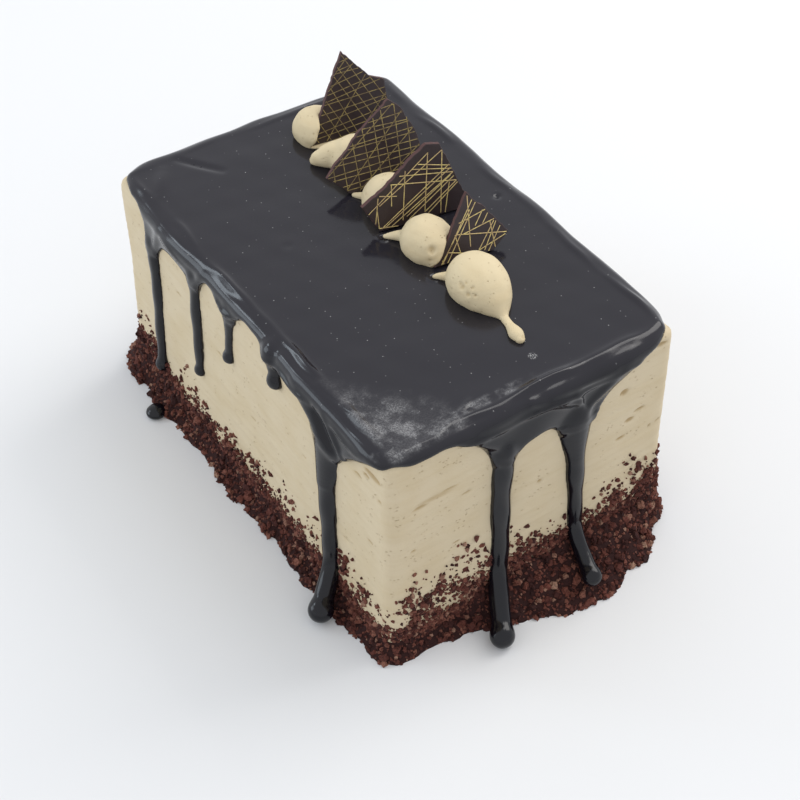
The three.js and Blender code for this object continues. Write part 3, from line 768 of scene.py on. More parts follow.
# The raised lines along the rim: the side's number, the heights of the upper and the lower line, and the half
# width of the upper one.
RIM_LINES = ((0, 1.1, 1.1, 1.7), (3, 1.1, 1.1, 1.3), (1, 0.6, 0.5, 1.3), (2, 0.6, 0.5, 1.3))


def rim_line(points, along, out):
    """How high the raised lines along the rim stand."""
    z = points[:, 2]
    raised = np.zeros(len(points))
    for side, height, second, wide in RIM_LINES:
        here = np.column_stack([along[:, side], 0 * z + 50 * side, 0 * z])
        wander = 1.3 * ripple(here, 26, 41) + 0.5 * ripple(here, 9, 42)
        strength = np.clip(0.62 + 0.5 * ripple(here, 17, 43), 0.1, 1.3)
        near_end = strength * np.clip((SIDE_HALF[side] - 4 - np.abs(along[:, side])) / 14, 0, 1)
        inner = np.exp(-((out[:, side] + 4.2 + wander * 0.5) / wide) ** 2) * (z > 98)
        dip = np.exp(-((out[:, side] + 1.6 + wander * 0.5) / 1.3) ** 2) * (z > 96)
        lower = np.exp(-((z - 95.2 - wander) / 1.3) ** 2) * (out[:, side] > -2)
        raised += near_end * (height * inner - 0.35 * height * dip + second * lower)
    return raised


def glaze_field(points):
    """How far points of the cake are outside the glaze, in millimetres."""
    true = true_block(points)
    along, out = sides_of(true)
    z = true[:, 2]
    upright = wall_distance(true) - flare(z)
    weight = np.exp(np.clip((out - out.max(1)[:, None]) / 1.5, -30, 0))
    weight /= weight.sum(1)[:, None]
    edge, steep, inset = (np.zeros(len(points)) for _ in range(3))
    for side, (place, height) in enumerate(EDGES):
        edge += weight[:, side] * np.interp(along[:, side], place, height)
        steep += weight[:, side] * np.interp(along[:, side], place, np.abs(np.gradient(height, place)))
    for first, second, deep, spread in DRAWN_IN:
        away = np.hypot(SIDE_HALF[first] - along[:, first], SIDE_HALF[second] + along[:, second])
        inset = np.maximum(inset, deep * np.exp(-(away / spread) ** 2))
    below = (edge - z) / np.hypot(1, steep)
    inset = inset + 0.45 * ripple(points, 15, 44) * (z > 80)
    coat = round_edge(upright + inset - WALL_COAT, z - GLAZE_TOP, GLAZE_RIM)
    coat = round_edge(coat, below, LIP)
    runs = np.full(len(points), 9.0)
    for side, middles, radii, last, drop in RUNS:
        low = np.minimum(middles.min(0), last) - radii.max() - 6
        high = np.maximum(middles.max(0), last) + radii.max() + 6
        close = np.all((points > low) & (points < high), 1)
        run = bead_chain(points[close], middles, radii)
        ball = np.linalg.norm(points[close] - last, axis=1) - drop
        runs[close] = np.minimum(runs[close], softly_joined(run, ball, DROP_FILLET))
    glaze = softly_joined(coat, runs, COAT_FILLET)
    glaze -= rim_line(true, along, out)
    for start, end, height, half in FOLDS:
        start, end = np.array(start, float), np.array(end, float)
        run = end - start
        part = np.clip((points - start) @ run / (run @ run), 0, 1)
        apart = np.linalg.norm(points - start - part[:, None] * run, axis=1)
        glaze -= FOLDING * height * np.exp(-(apart / half) ** 2) * np.sin(math.pi * (0.15 + 0.7 * part))
    for x, y, half, deep in DENTS:
        glaze += deep * np.exp(-((points[:, 0] - x) ** 2 + (points[:, 1] - y) ** 2) / half ** 2) * (z > 98)
    for x, y in DRAWN_UP:
        ring = np.hypot(points[:, 0] - x, points[:, 1] - y) - 2.2
        glaze -= 0.4 * np.exp(-(ring / 0.55) ** 2) * (z > 100)
    glaze -= 0.10 * ripple(points, 22, 5) + 0.05 * ripple(points, 7, 6)
    cream = round_edge(upright, z - CREAM_TOP, CREAM_RIM)
    return np.maximum(np.maximum(glaze, -cream - 0.7), 0.4 - z)


# %% [markdown]
# Up close the glaze isn't one even black. Its top is painted a little greyer than its walls, as painted
# light. A dull bloom of fine foam lies at the front left corner and along the front rim, and single bubbles
# are scattered over the top. A painted picture could hold them, but noises and cells stay sharp at any
# distance and need no unwrapping.

# %% The glaze's finish
def glaze_paint():
    """Dark mirror glaze with a foam bloom at one corner and fine bubbles."""
    paint = Paint("dark_glaze")
    x, y, z = paint.axes()
    cloudy = paint.cloud(7, 3, 0.6)
    across = (x + 61) * 0.5 + (y + 93) * 0.5
    in_pool = x.between(-59.5, -57) * y.between(-93.8, -91.4)
    corner = across.between(27, 13) * x.between(-24, -33) * (0.16 + cloudy.between(0.40, 0.66) * 0.84)
    rim = y.between(-84, -86) * y.between(-90, -88.4)
    front = x.between(8, -10) * rim * cloudy.between(0.44, 0.66) * 0.75
    on_top = z.between(98.5, 101)
    speckle = 0.3 + paint.cloud(0.6, 4, 0.75).between(0.42, 0.64) * 0.7
    foam = paint.either(corner * in_pool, front) * on_top * speckle
    grid = {"Vector": paint.place, "Scale": 240, "Randomness": 1.0}
    cells = paint.node("ShaderNodeTexVoronoi", grid, voronoi_dimensions="2D")
    chosen = paint.node("ShaderNodeTexVoronoi", grid, out="Color", voronoi_dimensions="2D")
    red = paint.node("ShaderNodeSeparateColor", {0: chosen}, out=0)
    bubble = cells.between(0.07, 0.03) * red.between(0.74, 1.10) * on_top * 0.75
    by_the_tail = ((x - 10) ** 2 + (y + 78.6) ** 2).between(4.0, 0.3)
    fleck = by_the_tail * paint.cloud(0.45, 2).between(0.52, 0.60) * on_top
    bubble = paint.either(bubble, fleck)
    # Painted light: from the rim up, the glaze is painted a little greyer than on the walls.
    base = paint.mixed(z.between(96.5, 101.4), (0.0036, 0.0038, 0.0066), (0.0150, 0.0142, 0.0195))
    base = paint.mixed(foam * 0.8, base, (0.32, 0.32, 0.325))
    base = paint.mixed(bubble * 0.9, base, (0.42, 0.42, 0.42))
    rough = 0.12 + foam * 0.32 + paint.cloud(12, 2) * 0.05
    relief = paint.cloud(2.6, 2) * 0.25 + foam * 0.4 + bubble
    return paint.finish(relief, 0.08, Base_Color=base, Roughness=rough, IOR=1.42)


DARK_GLAZE = glaze_paint()
GLAZE_STEP = 0.8
GLAZE_FACES = 95000         # the most four-sided faces that are kept
glaze = skin("glaze_pour", glaze_field, (-84, -123, -1), (72, 104, 106), GLAZE_STEP, DARK_GLAZE)
glaze = applied(glaze, "DECIMATE", ratio=min(1, GLAZE_FACES / len(glaze.data.polygons)))


def fallen_drop_field(points):
    """A drop of glaze that fell beside the crumbs, squashed where it landed."""
    apart = points - np.array((-74.2, 63.3, 1.9))
    squashed = np.linalg.norm(apart / (4.4, 4.1, 2.7), axis=1) - 1
    tail = bead_chain(points, np.array([(-74, 64, 1.4), (-73, 67.4, 1.0)]), np.array([1.6, 0.9]))
    return softly_cut(softly_joined(squashed * 3, tail, 1.2), 0.1 - points[:, 2], 0.5)


fallen_drop = skin("fallen_drop", fallen_drop_field, (-80, 57, -1), (-67, 70, 6), 0.5, DARK_GLAZE)

# %% [markdown]
# ## Trees that repeat things
# Geometry Nodes make what repeats: the crumbs and the gold lines on the plates. A `Recipe` is such a tree
# with named inputs, so that one tree serves for coarse and for fine crumbs. Its result is turned into a plain
# mesh, so the piece doesn't depend on the tree any more.

# %% Recipes
class Recipe(Tree):
    """A Geometry Nodes tree with named inputs, which makes one piece from another."""

    def __init__(self, name, **inputs):
        group = bpy.data.node_groups.new(name, "GeometryNodeTree")
        super().__init__(group)
        group.interface.new_socket("Geometry", in_out="INPUT", socket_type="NodeSocketGeometry")
        group.interface.new_socket("Geometry", in_out="OUTPUT", socket_type="NodeSocketGeometry")
        self.sockets = {label: group.interface.new_socket(label, in_out="INPUT", socket_type=kind).identifier
                        for label, kind in inputs.items()}
        self.entry = group.nodes.new("NodeGroupInput")

    def given(self, label):
        """One of the tree's inputs."""
        return Wire(self, self.entry.outputs[label])

    def random(self, low, high, seed):
        """A different number for each thing."""
        inputs = {2: low, 3: high, 8: seed}
        return self.node("FunctionNodeRandomValue", inputs, out=1, data_type="FLOAT")

    def end(self, geometry, material):
        """The end of the tree: real geometry with its material."""
        real = self.node("GeometryNodeRealizeInstances", {"Geometry": geometry})
        painted = self.node("GeometryNodeSetMaterial", {"Geometry": real, "Material": material})
        self.node("NodeGroupOutput", {"Geometry": painted})

    def make(self, name, ground, **values):
        """A new piece: this tree's result on the ground, with values for its inputs."""
        modifier = ground.modifiers.new(name, "NODES")
        modifier.node_group = self.tree
        for label, value in values.items():
            modifier[self.sockets[label]] = value
        bpy.context.view_layer.update()
        evaluated = ground.evaluated_get(bpy.context.evaluated_depsgraph_get())
        mesh = bpy.data.meshes.new_from_object(evaluated)
        mesh.name = name
        ground.modifiers.remove(modifier)
        piece = bpy.data.objects.new(name, mesh)
        bpy.context.scene.collection.objects.link(piece)
        triangles = sum(len(face.vertices) - 2 for face in mesh.polygons)
        print(name, triangles, "triangles")
        return piece


# %% [markdown]
# ## The crumbs
# Crumbs of chocolate cake are pressed round the foot. At the left half of the front they are only a low band,
# and at the right half and the back left corner they pile up. Above the heap they thin out to single specks
# that stick to the cream. A heap of nothing but crumbs would take millions of faces, and a rough bed alone
# would look like mud. So a lumpy bed fills the inside of the heap, and on it and on the wall lie real crumbs
# of three kinds: coarse, medium and fine. How thick they lie at a place is an attribute of the ground that
# they fall on.

# %% The bed of crumbs
# Side, along: the height of the heap against the wall, the reach of its toe, and the height at which the
# last specks stick to the wall.
HEAP = (
    ("front", -55, 11, 7.5, 36), ("front", -34, 9, 9, 46), ("front", -14, 20, 14, 34),
    ("front", 4, 21, 20, 34), ("front", 28, 22, 23, 30), ("front", 46, 24, 16, 33), ("front", 55, 28, 6, 38),
    ("right", -60, 20, 7, 34), ("right", 10, 13, 8.5, 28), ("right", 80, 16, 7.5, 32),
    ("back", 0, 13, 8.5, 28), ("back", 55, 24, 8, 36),
    ("left", -87, 27, 8.5, 36), ("left", -62, 15, 9, 28), ("left", 10, 13, 9, 28), ("left", 84, 12, 8, 30),
)
HEAP_SECTION = ((1, 0), (0.97, 0.05), (0.86, 0.13), (0.68, 0.24), (0.5, 0.37), (0.34, 0.56), (0.2, 0.8),
                (0.1, 0.97))      # parts of its reach and of its height
QUARTER = (WIDTH + LENGTH) / 2      # from the middle of one side to the middle of the next
HEAP_START = 0.6


def round_the_foot(stations):
    """How far round the foot stations are, from the middle of the front."""
    return QUARTER * stations[:, 0] + stations[:, 1] + stations[:, 2] * CORNER


def heap_sizes(stations):
    """The heap's height, its reach and the height of the last specks at stations, with lumps."""
    here = round_the_foot(stations)
    keys = np.array([(QUARTER * SIDES.index(side) + along, *sizes) for side, along, *sizes in HEAP])
    height, reach, last = (np.interp(here, keys[:, 0], keys[:, i], period=4 * QUARTER) for i in (1, 2, 3))
    angle = here * 2 * math.pi / (4 * QUARTER)
    ring = np.column_stack([np.cos(angle), np.sin(angle), 0 * angle]) * 98
    height = height * (0.74 + 0.15 * ripple(ring, 9, 21) + 0.08 * ripple(ring, 4, 22)) - 0.8
    reach = reach * (1.0 + 0.13 * ripple(ring, 12, 23) + 0.08 * ripple(ring, 5, 26)) - 0.8
    last = last * (1.08 + 0.16 * ripple(ring, 10, 24))
    return height, reach, last


def bed_of_crumbs(material):
    """The lumpy bed, closed behind the cream's wall, with how thick crumbs lie on it."""
    stations = ring_stations()[::2]
    height, reach, _ = heap_sizes(stations)
    rings = [ring_at(stations, HEAP_START + reach * outward, height * upward)
             for outward, upward in HEAP_SECTION]
    rings += [ring_at(stations, -2.0, height * 0.9), ring_at(stations, -2.0, 0)]
    points = np.concatenate(rings)
    shown = np.repeat([1.0] * len(HEAP_SECTION) + [0.0, 0.0], len(stations))
    lumps = 0.55 * ripple(points, 3.2, 31) + 0.35 * ripple(points, 6, 32)
    points[:, 2] = np.maximum(0, points[:, 2] + lumps * shown * np.clip(points[:, 2], 0, 1))
    faces = [np.roll(ring_faces(len(stations), ring, (ring + 1) % len(rings)), -1, 1)
             for ring in range(len(rings))]
    bed = new_piece("crumb_bed", hand_cut(points), np.concatenate(faces), material)
    mark(bed, "crowd", shown)
    return bed


FRONT_SPECKS, OTHER_SPECKS = 1.75, 0.85     # how much thicker specks stick to the front than elsewhere


def wall_above(low_z=1.0, high_z=52.0, step=1.6):
    """The strip of wall that specks stick to, with how thick they lie."""
    stations = ring_stations()[::2]
    height, _, last = heap_sizes(stations)
    levels = np.arange(low_z, high_z, step)
    points = np.concatenate([ring_at(stations, flare(z) + 0.1, z) for z in levels])
    faces = np.concatenate([ring_faces(len(stations), i, i + 1) for i in range(len(levels) - 1)])
    z = np.repeat(levels, len(stations))
    heap, top = np.tile(height, len(levels)), np.tile(last, len(levels))
    part = np.clip((z - heap) / np.maximum(top - heap, 4), 0, 1)
    patchy = np.clip(0.75 + 0.65 * ripple(points, 5, 33), 0.12, 1.8)
    thinning = np.exp(-2.2 * part) * (1 - part) ** 0.6
    thick = np.where(z < heap - 1, 0.0, thinning * (patchy + 0.7 * (part < 0.15)))
    thick *= np.where(np.tile(stations[:, 0] == 0, len(levels)), FRONT_SPECKS, OTHER_SPECKS)
    strip = new_piece("wall_above", hand_cut(points), faces)
    mark(strip, "crowd", thick)
    return strip


# %% [markdown]
# Dry chocolate crumbs are dull and reddish brown, and no two are quite alike: some are nearly black and a few
# are pale. A noise over the whole heap would colour them in clouds, so the tree below gives each crumb one
# number, `shade`, and the material turns that number into its brown.

# %% The crumbs' finish
def crumb_paint():
    """Chocolate cake crumbs: dull reddish brown, some darker and a few pale."""
    paint = Paint("chocolate_crumbs")
    shade = paint.node("ShaderNodeAttribute", attribute_name="shade", out="Fac")
    stops = ((0.0, (0.032, 0.011, 0.010)), (0.3, (0.085, 0.026, 0.020)), (0.66, (0.155, 0.051, 0.036)),
             (0.92, (0.230, 0.095, 0.065)), (1.0, (0.340, 0.200, 0.140)))
    base = paint.node("ShaderNodeValToRGB", {"Fac": shade}, stops=stops)
    grain = paint.cloud(0.7, 3, 0.7)
    dark = paint.mixed(grain.between(0.55, 0.35) * 0.6, base, (0.022, 0.009, 0.008))
    return paint.finish(grain, 0.35, Base_Color=dark, Roughness=0.9, Specular_IOR_Level=0.25)


CRUMBS = crumb_paint()
crumb_bed = bed_of_crumbs(CRUMBS)


# %% [markdown]
# A crumb is a small ball pushed out of shape by a noise. Five such shapes are enough, because each copy is
# turned and sized at random. Particles would strew them too, but a tree keeps the crowding, the sizes and the
# seed in one place and ends in real geometry. Most crumbs are small and a few are large, which the power on
# the random size brings about.

# %% The crumbs themselves
CRUMB_SHAPES = 5


def crumb_recipe(name, roundness):
    """Crumbs strewn on a ground: a few lumpy shapes, picked, turned and sized at random."""
    recipe = Recipe(name, Crowding="NodeSocketFloat", Smallest="NodeSocketFloat", Largest="NodeSocketFloat",
                    Seed="NodeSocketInt")
    seed = recipe.given("Seed")
    crowd = recipe.node("GeometryNodeInputNamedAttribute", {"Name": "crowd"}, data_type="FLOAT")
    places = recipe.node("GeometryNodeDistributePointsOnFaces",
                         {"Mesh": recipe.given("Geometry"), "Density": crowd * recipe.given("Crowding"),
                          "Seed": seed}, distribute_method="RANDOM")
    joined = recipe.tree.nodes.new("GeometryNodeJoinGeometry")
    for kind in range(CRUMB_SHAPES):
        ball = recipe.node("GeometryNodeMeshIcoSphere", {"Radius": 0.5, "Subdivisions": roundness})
        lumpy = recipe.node("ShaderNodeTexNoise", {"Scale": 1.7, "Detail": 1.0, "W": 3.7 * kind}, out="Color",
                            noise_dimensions="4D")
        offset = recipe.node("ShaderNodeVectorMath", {0: lumpy, 1: (0.5, 0.5, 0.5)}, operation="SUBTRACT")
        offset = recipe.node("ShaderNodeVectorMath", {0: offset, 1: (1.5, 1.5, 1.5)}, operation="MULTIPLY")
        shaped = recipe.node("GeometryNodeSetPosition", {"Geometry": ball, "Offset": offset})
        one = recipe.node("GeometryNodeGeometryToInstance", {"Geometry": shaped})
        recipe.tree.links.new(one.socket, joined.inputs[0])
    turn = recipe.node("FunctionNodeRandomValue", {1: (6.28, 6.28, 6.28), 8: seed + 1}, out=0,
                       data_type="FLOAT_VECTOR")
    kind = recipe.node("FunctionNodeRandomValue", {4: 0, 5: CRUMB_SHAPES - 1, 8: seed + 2}, out=2,
                       data_type="INT")
    spread = recipe.random(0.0, 1.0, seed + 3) ** 1.8
    small = recipe.given("Smallest")
    size = small + (recipe.given("Largest") - small) * spread
    crumbs = recipe.node("GeometryNodeInstanceOnPoints",
                         {"Points": places, "Instance": Wire(recipe, joined.outputs[0]),
                          "Pick Instance": True, "Instance Index": kind, "Rotation": turn, "Scale": size})
    shaded = recipe.node("GeometryNodeStoreNamedAttribute",
                         {"Geometry": crumbs, "Name": "shade", "Value": recipe.random(0.0, 1.0, seed + 4)},
                         data_type="FLOAT", domain="INSTANCE")
    recipe.end(shaded, CRUMBS)
    return recipe


WALL_CROWDING = 1.5         # crumbs on a square millimetre where they lie thickest
SQUARE_METRE = 1e6          # square millimetres
wall_strip = wall_above()
coarse, fine = crumb_recipe("coarse_crumbs", 2), crumb_recipe("fine_crumbs", 1)
# The tree, the ground, crumbs on a square millimetre, the smallest and the largest, and the seed.
STREWN = {
    "coarse_crumbs": (coarse, crumb_bed, 0.085, 1.5, 3.4, 5),
    "medium_crumbs": (fine, crumb_bed, 0.42, 0.7, 1.9, 15),
    "wall_crumbs": (fine, wall_strip, WALL_CROWDING, 0.45, 2.5, 25),
}
strewn = [tree.make(name, ground, Crowding=crowding * SQUARE_METRE, Smallest=smallest * MM,
                    Largest=largest * MM, Seed=seed)
          for name, (tree, ground, crowding, smallest, largest, seed) in STREWN.items()]
bpy.data.objects.remove(wall_strip)
for piece in strewn:        # crumbs that would reach under the cake are flattened onto its foot
    points = np.empty(3 * len(piece.data.vertices), np.float32)
    piece.data.vertices.foreach_get("co", points)
    points[2::3] = np.maximum(points[2::3], 0)
    piece.data.vertices.foreach_set("co", points)
    piece.data.update()

# %% [markdown]
# ## The piped cream
# Each teardrop was piped from the back towards the front: a head that sinks to a low dome, and a tail where
# the nozzle was pulled away. Behind all but the last one a small lobe was pushed out to the left. A lathed
# shape would be too even and would cross the plates. So they are fields as well, and where a chocolate plate
# leans on a head, the plate's own space is cut out of it, so the cream lies flat against it.

# %% The plates' places
# The foot's place, the lean in degrees, and the broken outline as (across, up the plate).
PLATES = {
    "front": ((7.5, -22.1), 22, ((0, 0), (24, 0), (31, 5.9), (28, 9.9), (23.2, 17.3), (19.7, 20.8),
                                 (16.9, 24.9), (8.7, 12.2), (3.7, 4))),
    "second": ((2.7, 6.5), 12, ((0, 0), (33, 0), (35.2, 6.8), (32.6, 13.4), (26.9, 29.1), (21.4, 30.4),
                                (13.8, 25.6), (4.3, 17.9), (-6.4, 12), (-3.9, 7.1))),
    "third": ((5.2, 31.5), 20, ((0, 0), (30, 0), (31.3, 12.3), (30, 18.5), (25.5, 28.4), (21, 32.6),
                                (15.6, 28.6), (7.8, 23.5), (0.6, 16.5), (-4.8, 12.4), (-8.3, 8.4),
                                (-4.5, 4.9))),
    "back": ((8.5, 65.6), 15, ((0, 0), (33, 0), (34.6, 12), (34.2, 19.5), (28.3, 22.3), (24, 27.3),
                               (18.1, 35), (10.1, 20.3))),
}
PLATE_TURN = math.radians(-10)


def plate_place(name):
    """Where a plate stands: its face to the front, turned a little and leaning back."""
    (x, y), lean, _ = PLATES[name]
    tilt = math.radians(lean)
    foot = Vector((x, y, DECK + PLATE * math.sin(tilt)))
    return (Matrix.Translation(foot) @ Matrix.Rotation(PLATE_TURN, 4, "Z")
            @ Matrix.Rotation(math.pi / 2 - tilt, 4, "X"))


def outline_distance(points, outline):
    """How far flat points are outside a broken outline."""
    corners = np.array(outline, float)
    nearest = np.full(len(points), 1e9)
    inside = np.zeros(len(points), bool)
    for start, end in zip(corners, np.roll(corners, -1, 0)):
        run = end - start
        apart = points - start
        part = np.clip(apart @ run / (run @ run), 0, 1)
        nearest = np.minimum(nearest, ((apart - part[:, None] * run) ** 2).sum(1))
        crosses = (start[1] > points[:, 1]) != (end[1] > points[:, 1])
        over = start[0] + run[0] * (points[:, 1] - start[1]) / (run[1] if run[1] else 1e-9)
        inside ^= crosses & (points[:, 0] < over)
    return np.where(inside, -1, 1) * np.sqrt(nearest)


def plate_space(points, name):
    """How far points are outside a plate and the room in front of it."""
    turned = np.array(plate_place(name).inverted())
    local = points @ turned[:3, :3].T + turned[:3, 3]
    depth = np.maximum(-PLATE - 0.15 - local[:, 2], local[:, 2] - 14)
    return np.maximum(outline_distance(local[:, :2], PLATES[name][2]) - 0.15, depth)


# %% [markdown]
# A teardrop is a chain of balls that grow smaller towards the tail, and the lobe is a shorter chain. The
# whole is sunk a little, as soft cream sinks under its own weight, and a few burst bubbles are pressed in.

# %% The teardrops
# The head's x and y, its radius, the whole length, the lobe's tip, root and half width, the plate that leans
# on it.
TEARDROPS = (
    ((13.7, -38.8), 11.1, 44.2, ((4.6, -25.4), (13, -34), 1.7), None),
    ((12.0, -9.9), 10.1, 23, ((2.2, 3.6), (12, -6), 2.0), "front"),
    ((14.1, 17.5), 10.5, 23, ((6, 31), (14, 21), 1.2), "second"),
    ((17.3, 44.8), 10.6, 23, ((4.2, 56.5), (15, 49), 3.6), "third"),
    ((14.7, 71.8), 9.4, 21, None, "back"),
)
# Burst bubbles in the two heads in front: place, half width and depth.
HEAD_PITS = (
    ((4.5, -43.4, 110.9), 0.85, 1.3), ((4.6, -42.2, 111.5), 0.6, 1.0), ((4.9, -46.6, 109.3), 0.7, 1.1),
    ((6.8, -46.8, 111.9), 0.5, 0.9), ((5.9, -43.8, 112.5), 0.5, 0.8), ((6.3, -48.8, 109.8), 0.6, 1.0),
    ((11.7, -71.2, 104.5), 0.8, 0.8),
    ((7.9, -19.7, 109.8), 1.0, 2.0), ((7.6, -20.0, 109.1), 0.8, 1.5), ((6.5, -20.4, 105.6), 0.6, 1.1),
)
MIDDLE = 0.45               # height of a head's middle over its radius, before it sinks
SUNK = 0.87                 # how far a head sinks under its own weight: its height over a ball's
LOBE_MIDDLE = 0.8           # height of a lobe's middle over its half width
NECK, KNOB = 1.5, 1.35      # the long tail's neck and the knob before its end
TAIL_SWING = -2.7           # how far the long tail swings to the left by its end


def tail_width(radius, length, t):
    """The half width of a teardrop's tail at distances from its back end."""
    left = np.maximum(0, length - t)
    if length < 3 * radius:
        return radius * np.cos(math.pi / 2 * np.minimum(1, (t - radius) / (length - radius))) ** 1.3
    knob = KNOB * np.exp(-((left - 4.6) / 3.4) ** 2)
    return NECK + (radius - NECK) * np.cos(math.pi / 2 * np.minimum(1, (t - radius) / 19)) ** 1.3 + knob


def teardrop_field(row, seed):
    """The field of one teardrop."""
    (x, y), radius, length, lobe, plate = row
    t = np.arange(radius, length - 1.2, 0.8)
    widths = np.maximum(tail_width(radius, length, t), 0.5)
    bend = 0.5 * np.sin((t - radius) * 0.16)
    if length > 3 * radius:
        bend += TAIL_SWING * ((t - radius) / (length - radius)) ** 2
    middles = np.column_stack([x + bend, y + radius - t, DECK + MIDDLE * widths - 0.2])
    sunk = np.array([1, 1, SUNK])

    def field(points):
        raised = (points - (0, 0, DECK)) / sunk + (0, 0, DECK)
        body = bead_chain(raised, middles, widths)
        if lobe:
            tip, root, half = lobe
            part = np.linspace(0.03, 1, 12)
            wide = half * np.minimum(1.5, 0.9 * np.sqrt(part) + 0.6 * part + 0.10 * half) + 0.12
            flat = np.array(tip) + (np.array(root) - np.array(tip)) * part[:, None]
            ends = np.column_stack([flat, DECK + LOBE_MIDDLE * wide - 0.2])
            body = softly_joined(body, bead_chain(points, ends, wide), 1.5)
        body = body - 0.25 * ripple(points, 8, seed) - 0.07 * ripple(points, 2.4, seed + 1)
        if plate:
            room = plate_space(points, plate)
            body = body - 0.45 * np.exp(-(room / 1.4) ** 2) * ripple(points, 3.6, seed + 2)
            body = softly_cut(body, -room, 0.4)
        for place, wide, deep in HEAD_PITS:
            apart = np.linalg.norm(points - np.array(place), axis=1)
            body = body + deep * np.exp(-(apart / wide) ** 2)
        return softly_cut(body, GLAZE_TOP - 0.4 - points[:, 2], 0.4)

    return field


def with_bubbles_marked(piece):
    """A head whose material is told how deep in a burst bubble each point lies."""
    points = np.array([vertex.co for vertex in piece.data.vertices]) / MM
    hollow = np.zeros(len(points))
    for place, wide, _ in HEAD_PITS:
        apart = np.linalg.norm(points - np.array(place), axis=1)
        hollow = np.maximum(hollow, np.exp(-(apart / (1.2 * wide)) ** 2))
    mark(piece, "hollow", hollow)
    return piece


PIPING_STEP = 0.45          # millimetres between the grid's points
PIPED_CREAM = cream_paint("piped_cream", (0.655, 0.556, 0.363), (0.615, 0.497, 0.300), 1.3, 0.6)
teardrops = []
for number, row in enumerate(TEARDROPS, 1):
    (x, y), radius, length, *_ = row
    low = (x - radius - 5, y + radius - length - 2, GLAZE_TOP - 1)
    high = (x + radius + 2, y + radius + 10, DECK + 1.8 * radius + 2)
    name = f"piped_teardrop_{number}"
    field = teardrop_field(row, 60 + 2 * number)
    teardrops.append(with_bubbles_marked(skin(name, field, low, high, PIPING_STEP, PIPED_CREAM)))

# %% [markdown]
# ## The chocolate plates
# The plates were broken from a thin sheet of dark chocolate that had fine gold lines printed on it. The face
# is flat and satin, the broken edge is rougher and redder. Cutting a sheet with a fracture tool would give
# outlines that nobody chose. So a plate is its own outline with small chips, given its thickness, a second
# material on the edge and a small bevel.

# %% The plates
def chocolate_paint(name, colour, roughness, grain):
    """Dark chocolate, with faint clouds and grain."""
    paint = Paint(name)
    clouds = paint.cloud(5, 3)
    base = paint.mixed(clouds.between(0.3, 0.75) * 0.5, colour, tuple(1.5 * c for c in colour))
    relief = paint.cloud(grain, 3, 0.6)
    return paint.finish(relief, 0.12, Base_Color=base, Roughness=roughness + clouds * 0.15)


CHOCOLATE_FACE = chocolate_paint("chocolate_plate", (0.026, 0.0155, 0.0165), 0.34, 2.2)
CHOCOLATE_EDGE = chocolate_paint("chocolate_edge", (0.062, 0.022, 0.020), 0.6, 0.6)


def chipped(outline, rng, chip=1.3, jitter=0.16):
    """An outline with small chips along its broken edges."""
    corners = np.array(outline, float)
    points = []
    for start, end in zip(corners, np.roll(corners, -1, 0)):
        count = max(1, int(np.linalg.norm(end - start) / chip))
        across = np.array([end[1] - start[1], start[0] - end[0]]) / np.linalg.norm(end - start)
        rough = 0 if start[1] == 0 and end[1] == 0 else jitter
        for i in range(count):
            shift = rng.normal() * rough if i else 0
            points.append(start + (end - start) * i / count + across * shift)
    return np.array(points)


def chocolate_plate(name, seed):
    """One plate, in its place."""
    outline = chipped(PLATES[name][2], np.random.default_rng(seed))
    count = len(outline)
    flat = np.concatenate([np.column_stack([outline, np.full(count, z)]) for z in (0, -PLATE)])
    ring = np.arange(count)
    rim = np.column_stack([ring, ring + count, (ring + 1) % count + count, (ring + 1) % count])
    faces = [list(range(count)), list(range(count, 2 * count))[::-1], *rim.tolist()]
    plate = new_piece(f"plate_{name}", flat, faces, CHOCOLATE_FACE, CHOCOLATE_EDGE)
    for face in plate.data.polygons:
        face.material_index = int(face.index > 1)
    plate = applied(plate, "BEVEL", width=0.22 * MM, segments=2, limit_method="ANGLE", angle_limit=0.9)
    plate.data.shade_flat()
    plate.data.transform(metres(plate_place(name)))
    return plate


def metres(place):
    """A place whose shift is in millimetres, for meshes that are in metres."""
    return Matrix.Translation(place.translation * MM) @ place.to_3x3().to_4x4()


plates = {name: chocolate_plate(name, 70 + i) for i, name in enumerate(PLATES)}

# %% [markdown]
# The gold lines cross each other. On the two plates at the back they make a fairly even lattice, and on the
# two in front they run in loose bundles, as if a fork had been drawn over the sheet. A material could draw
# them, but the printed lines lie on the chocolate as a thin film with an edge of its own. So each line ends
# inside the plate's outline, and a tree makes it a thin flat strip of uneven width.

# %% The gold lines
LINE_WIDTH = {"front": 0.33, "second": 0.33, "third": 0.30, "back": 0.27}
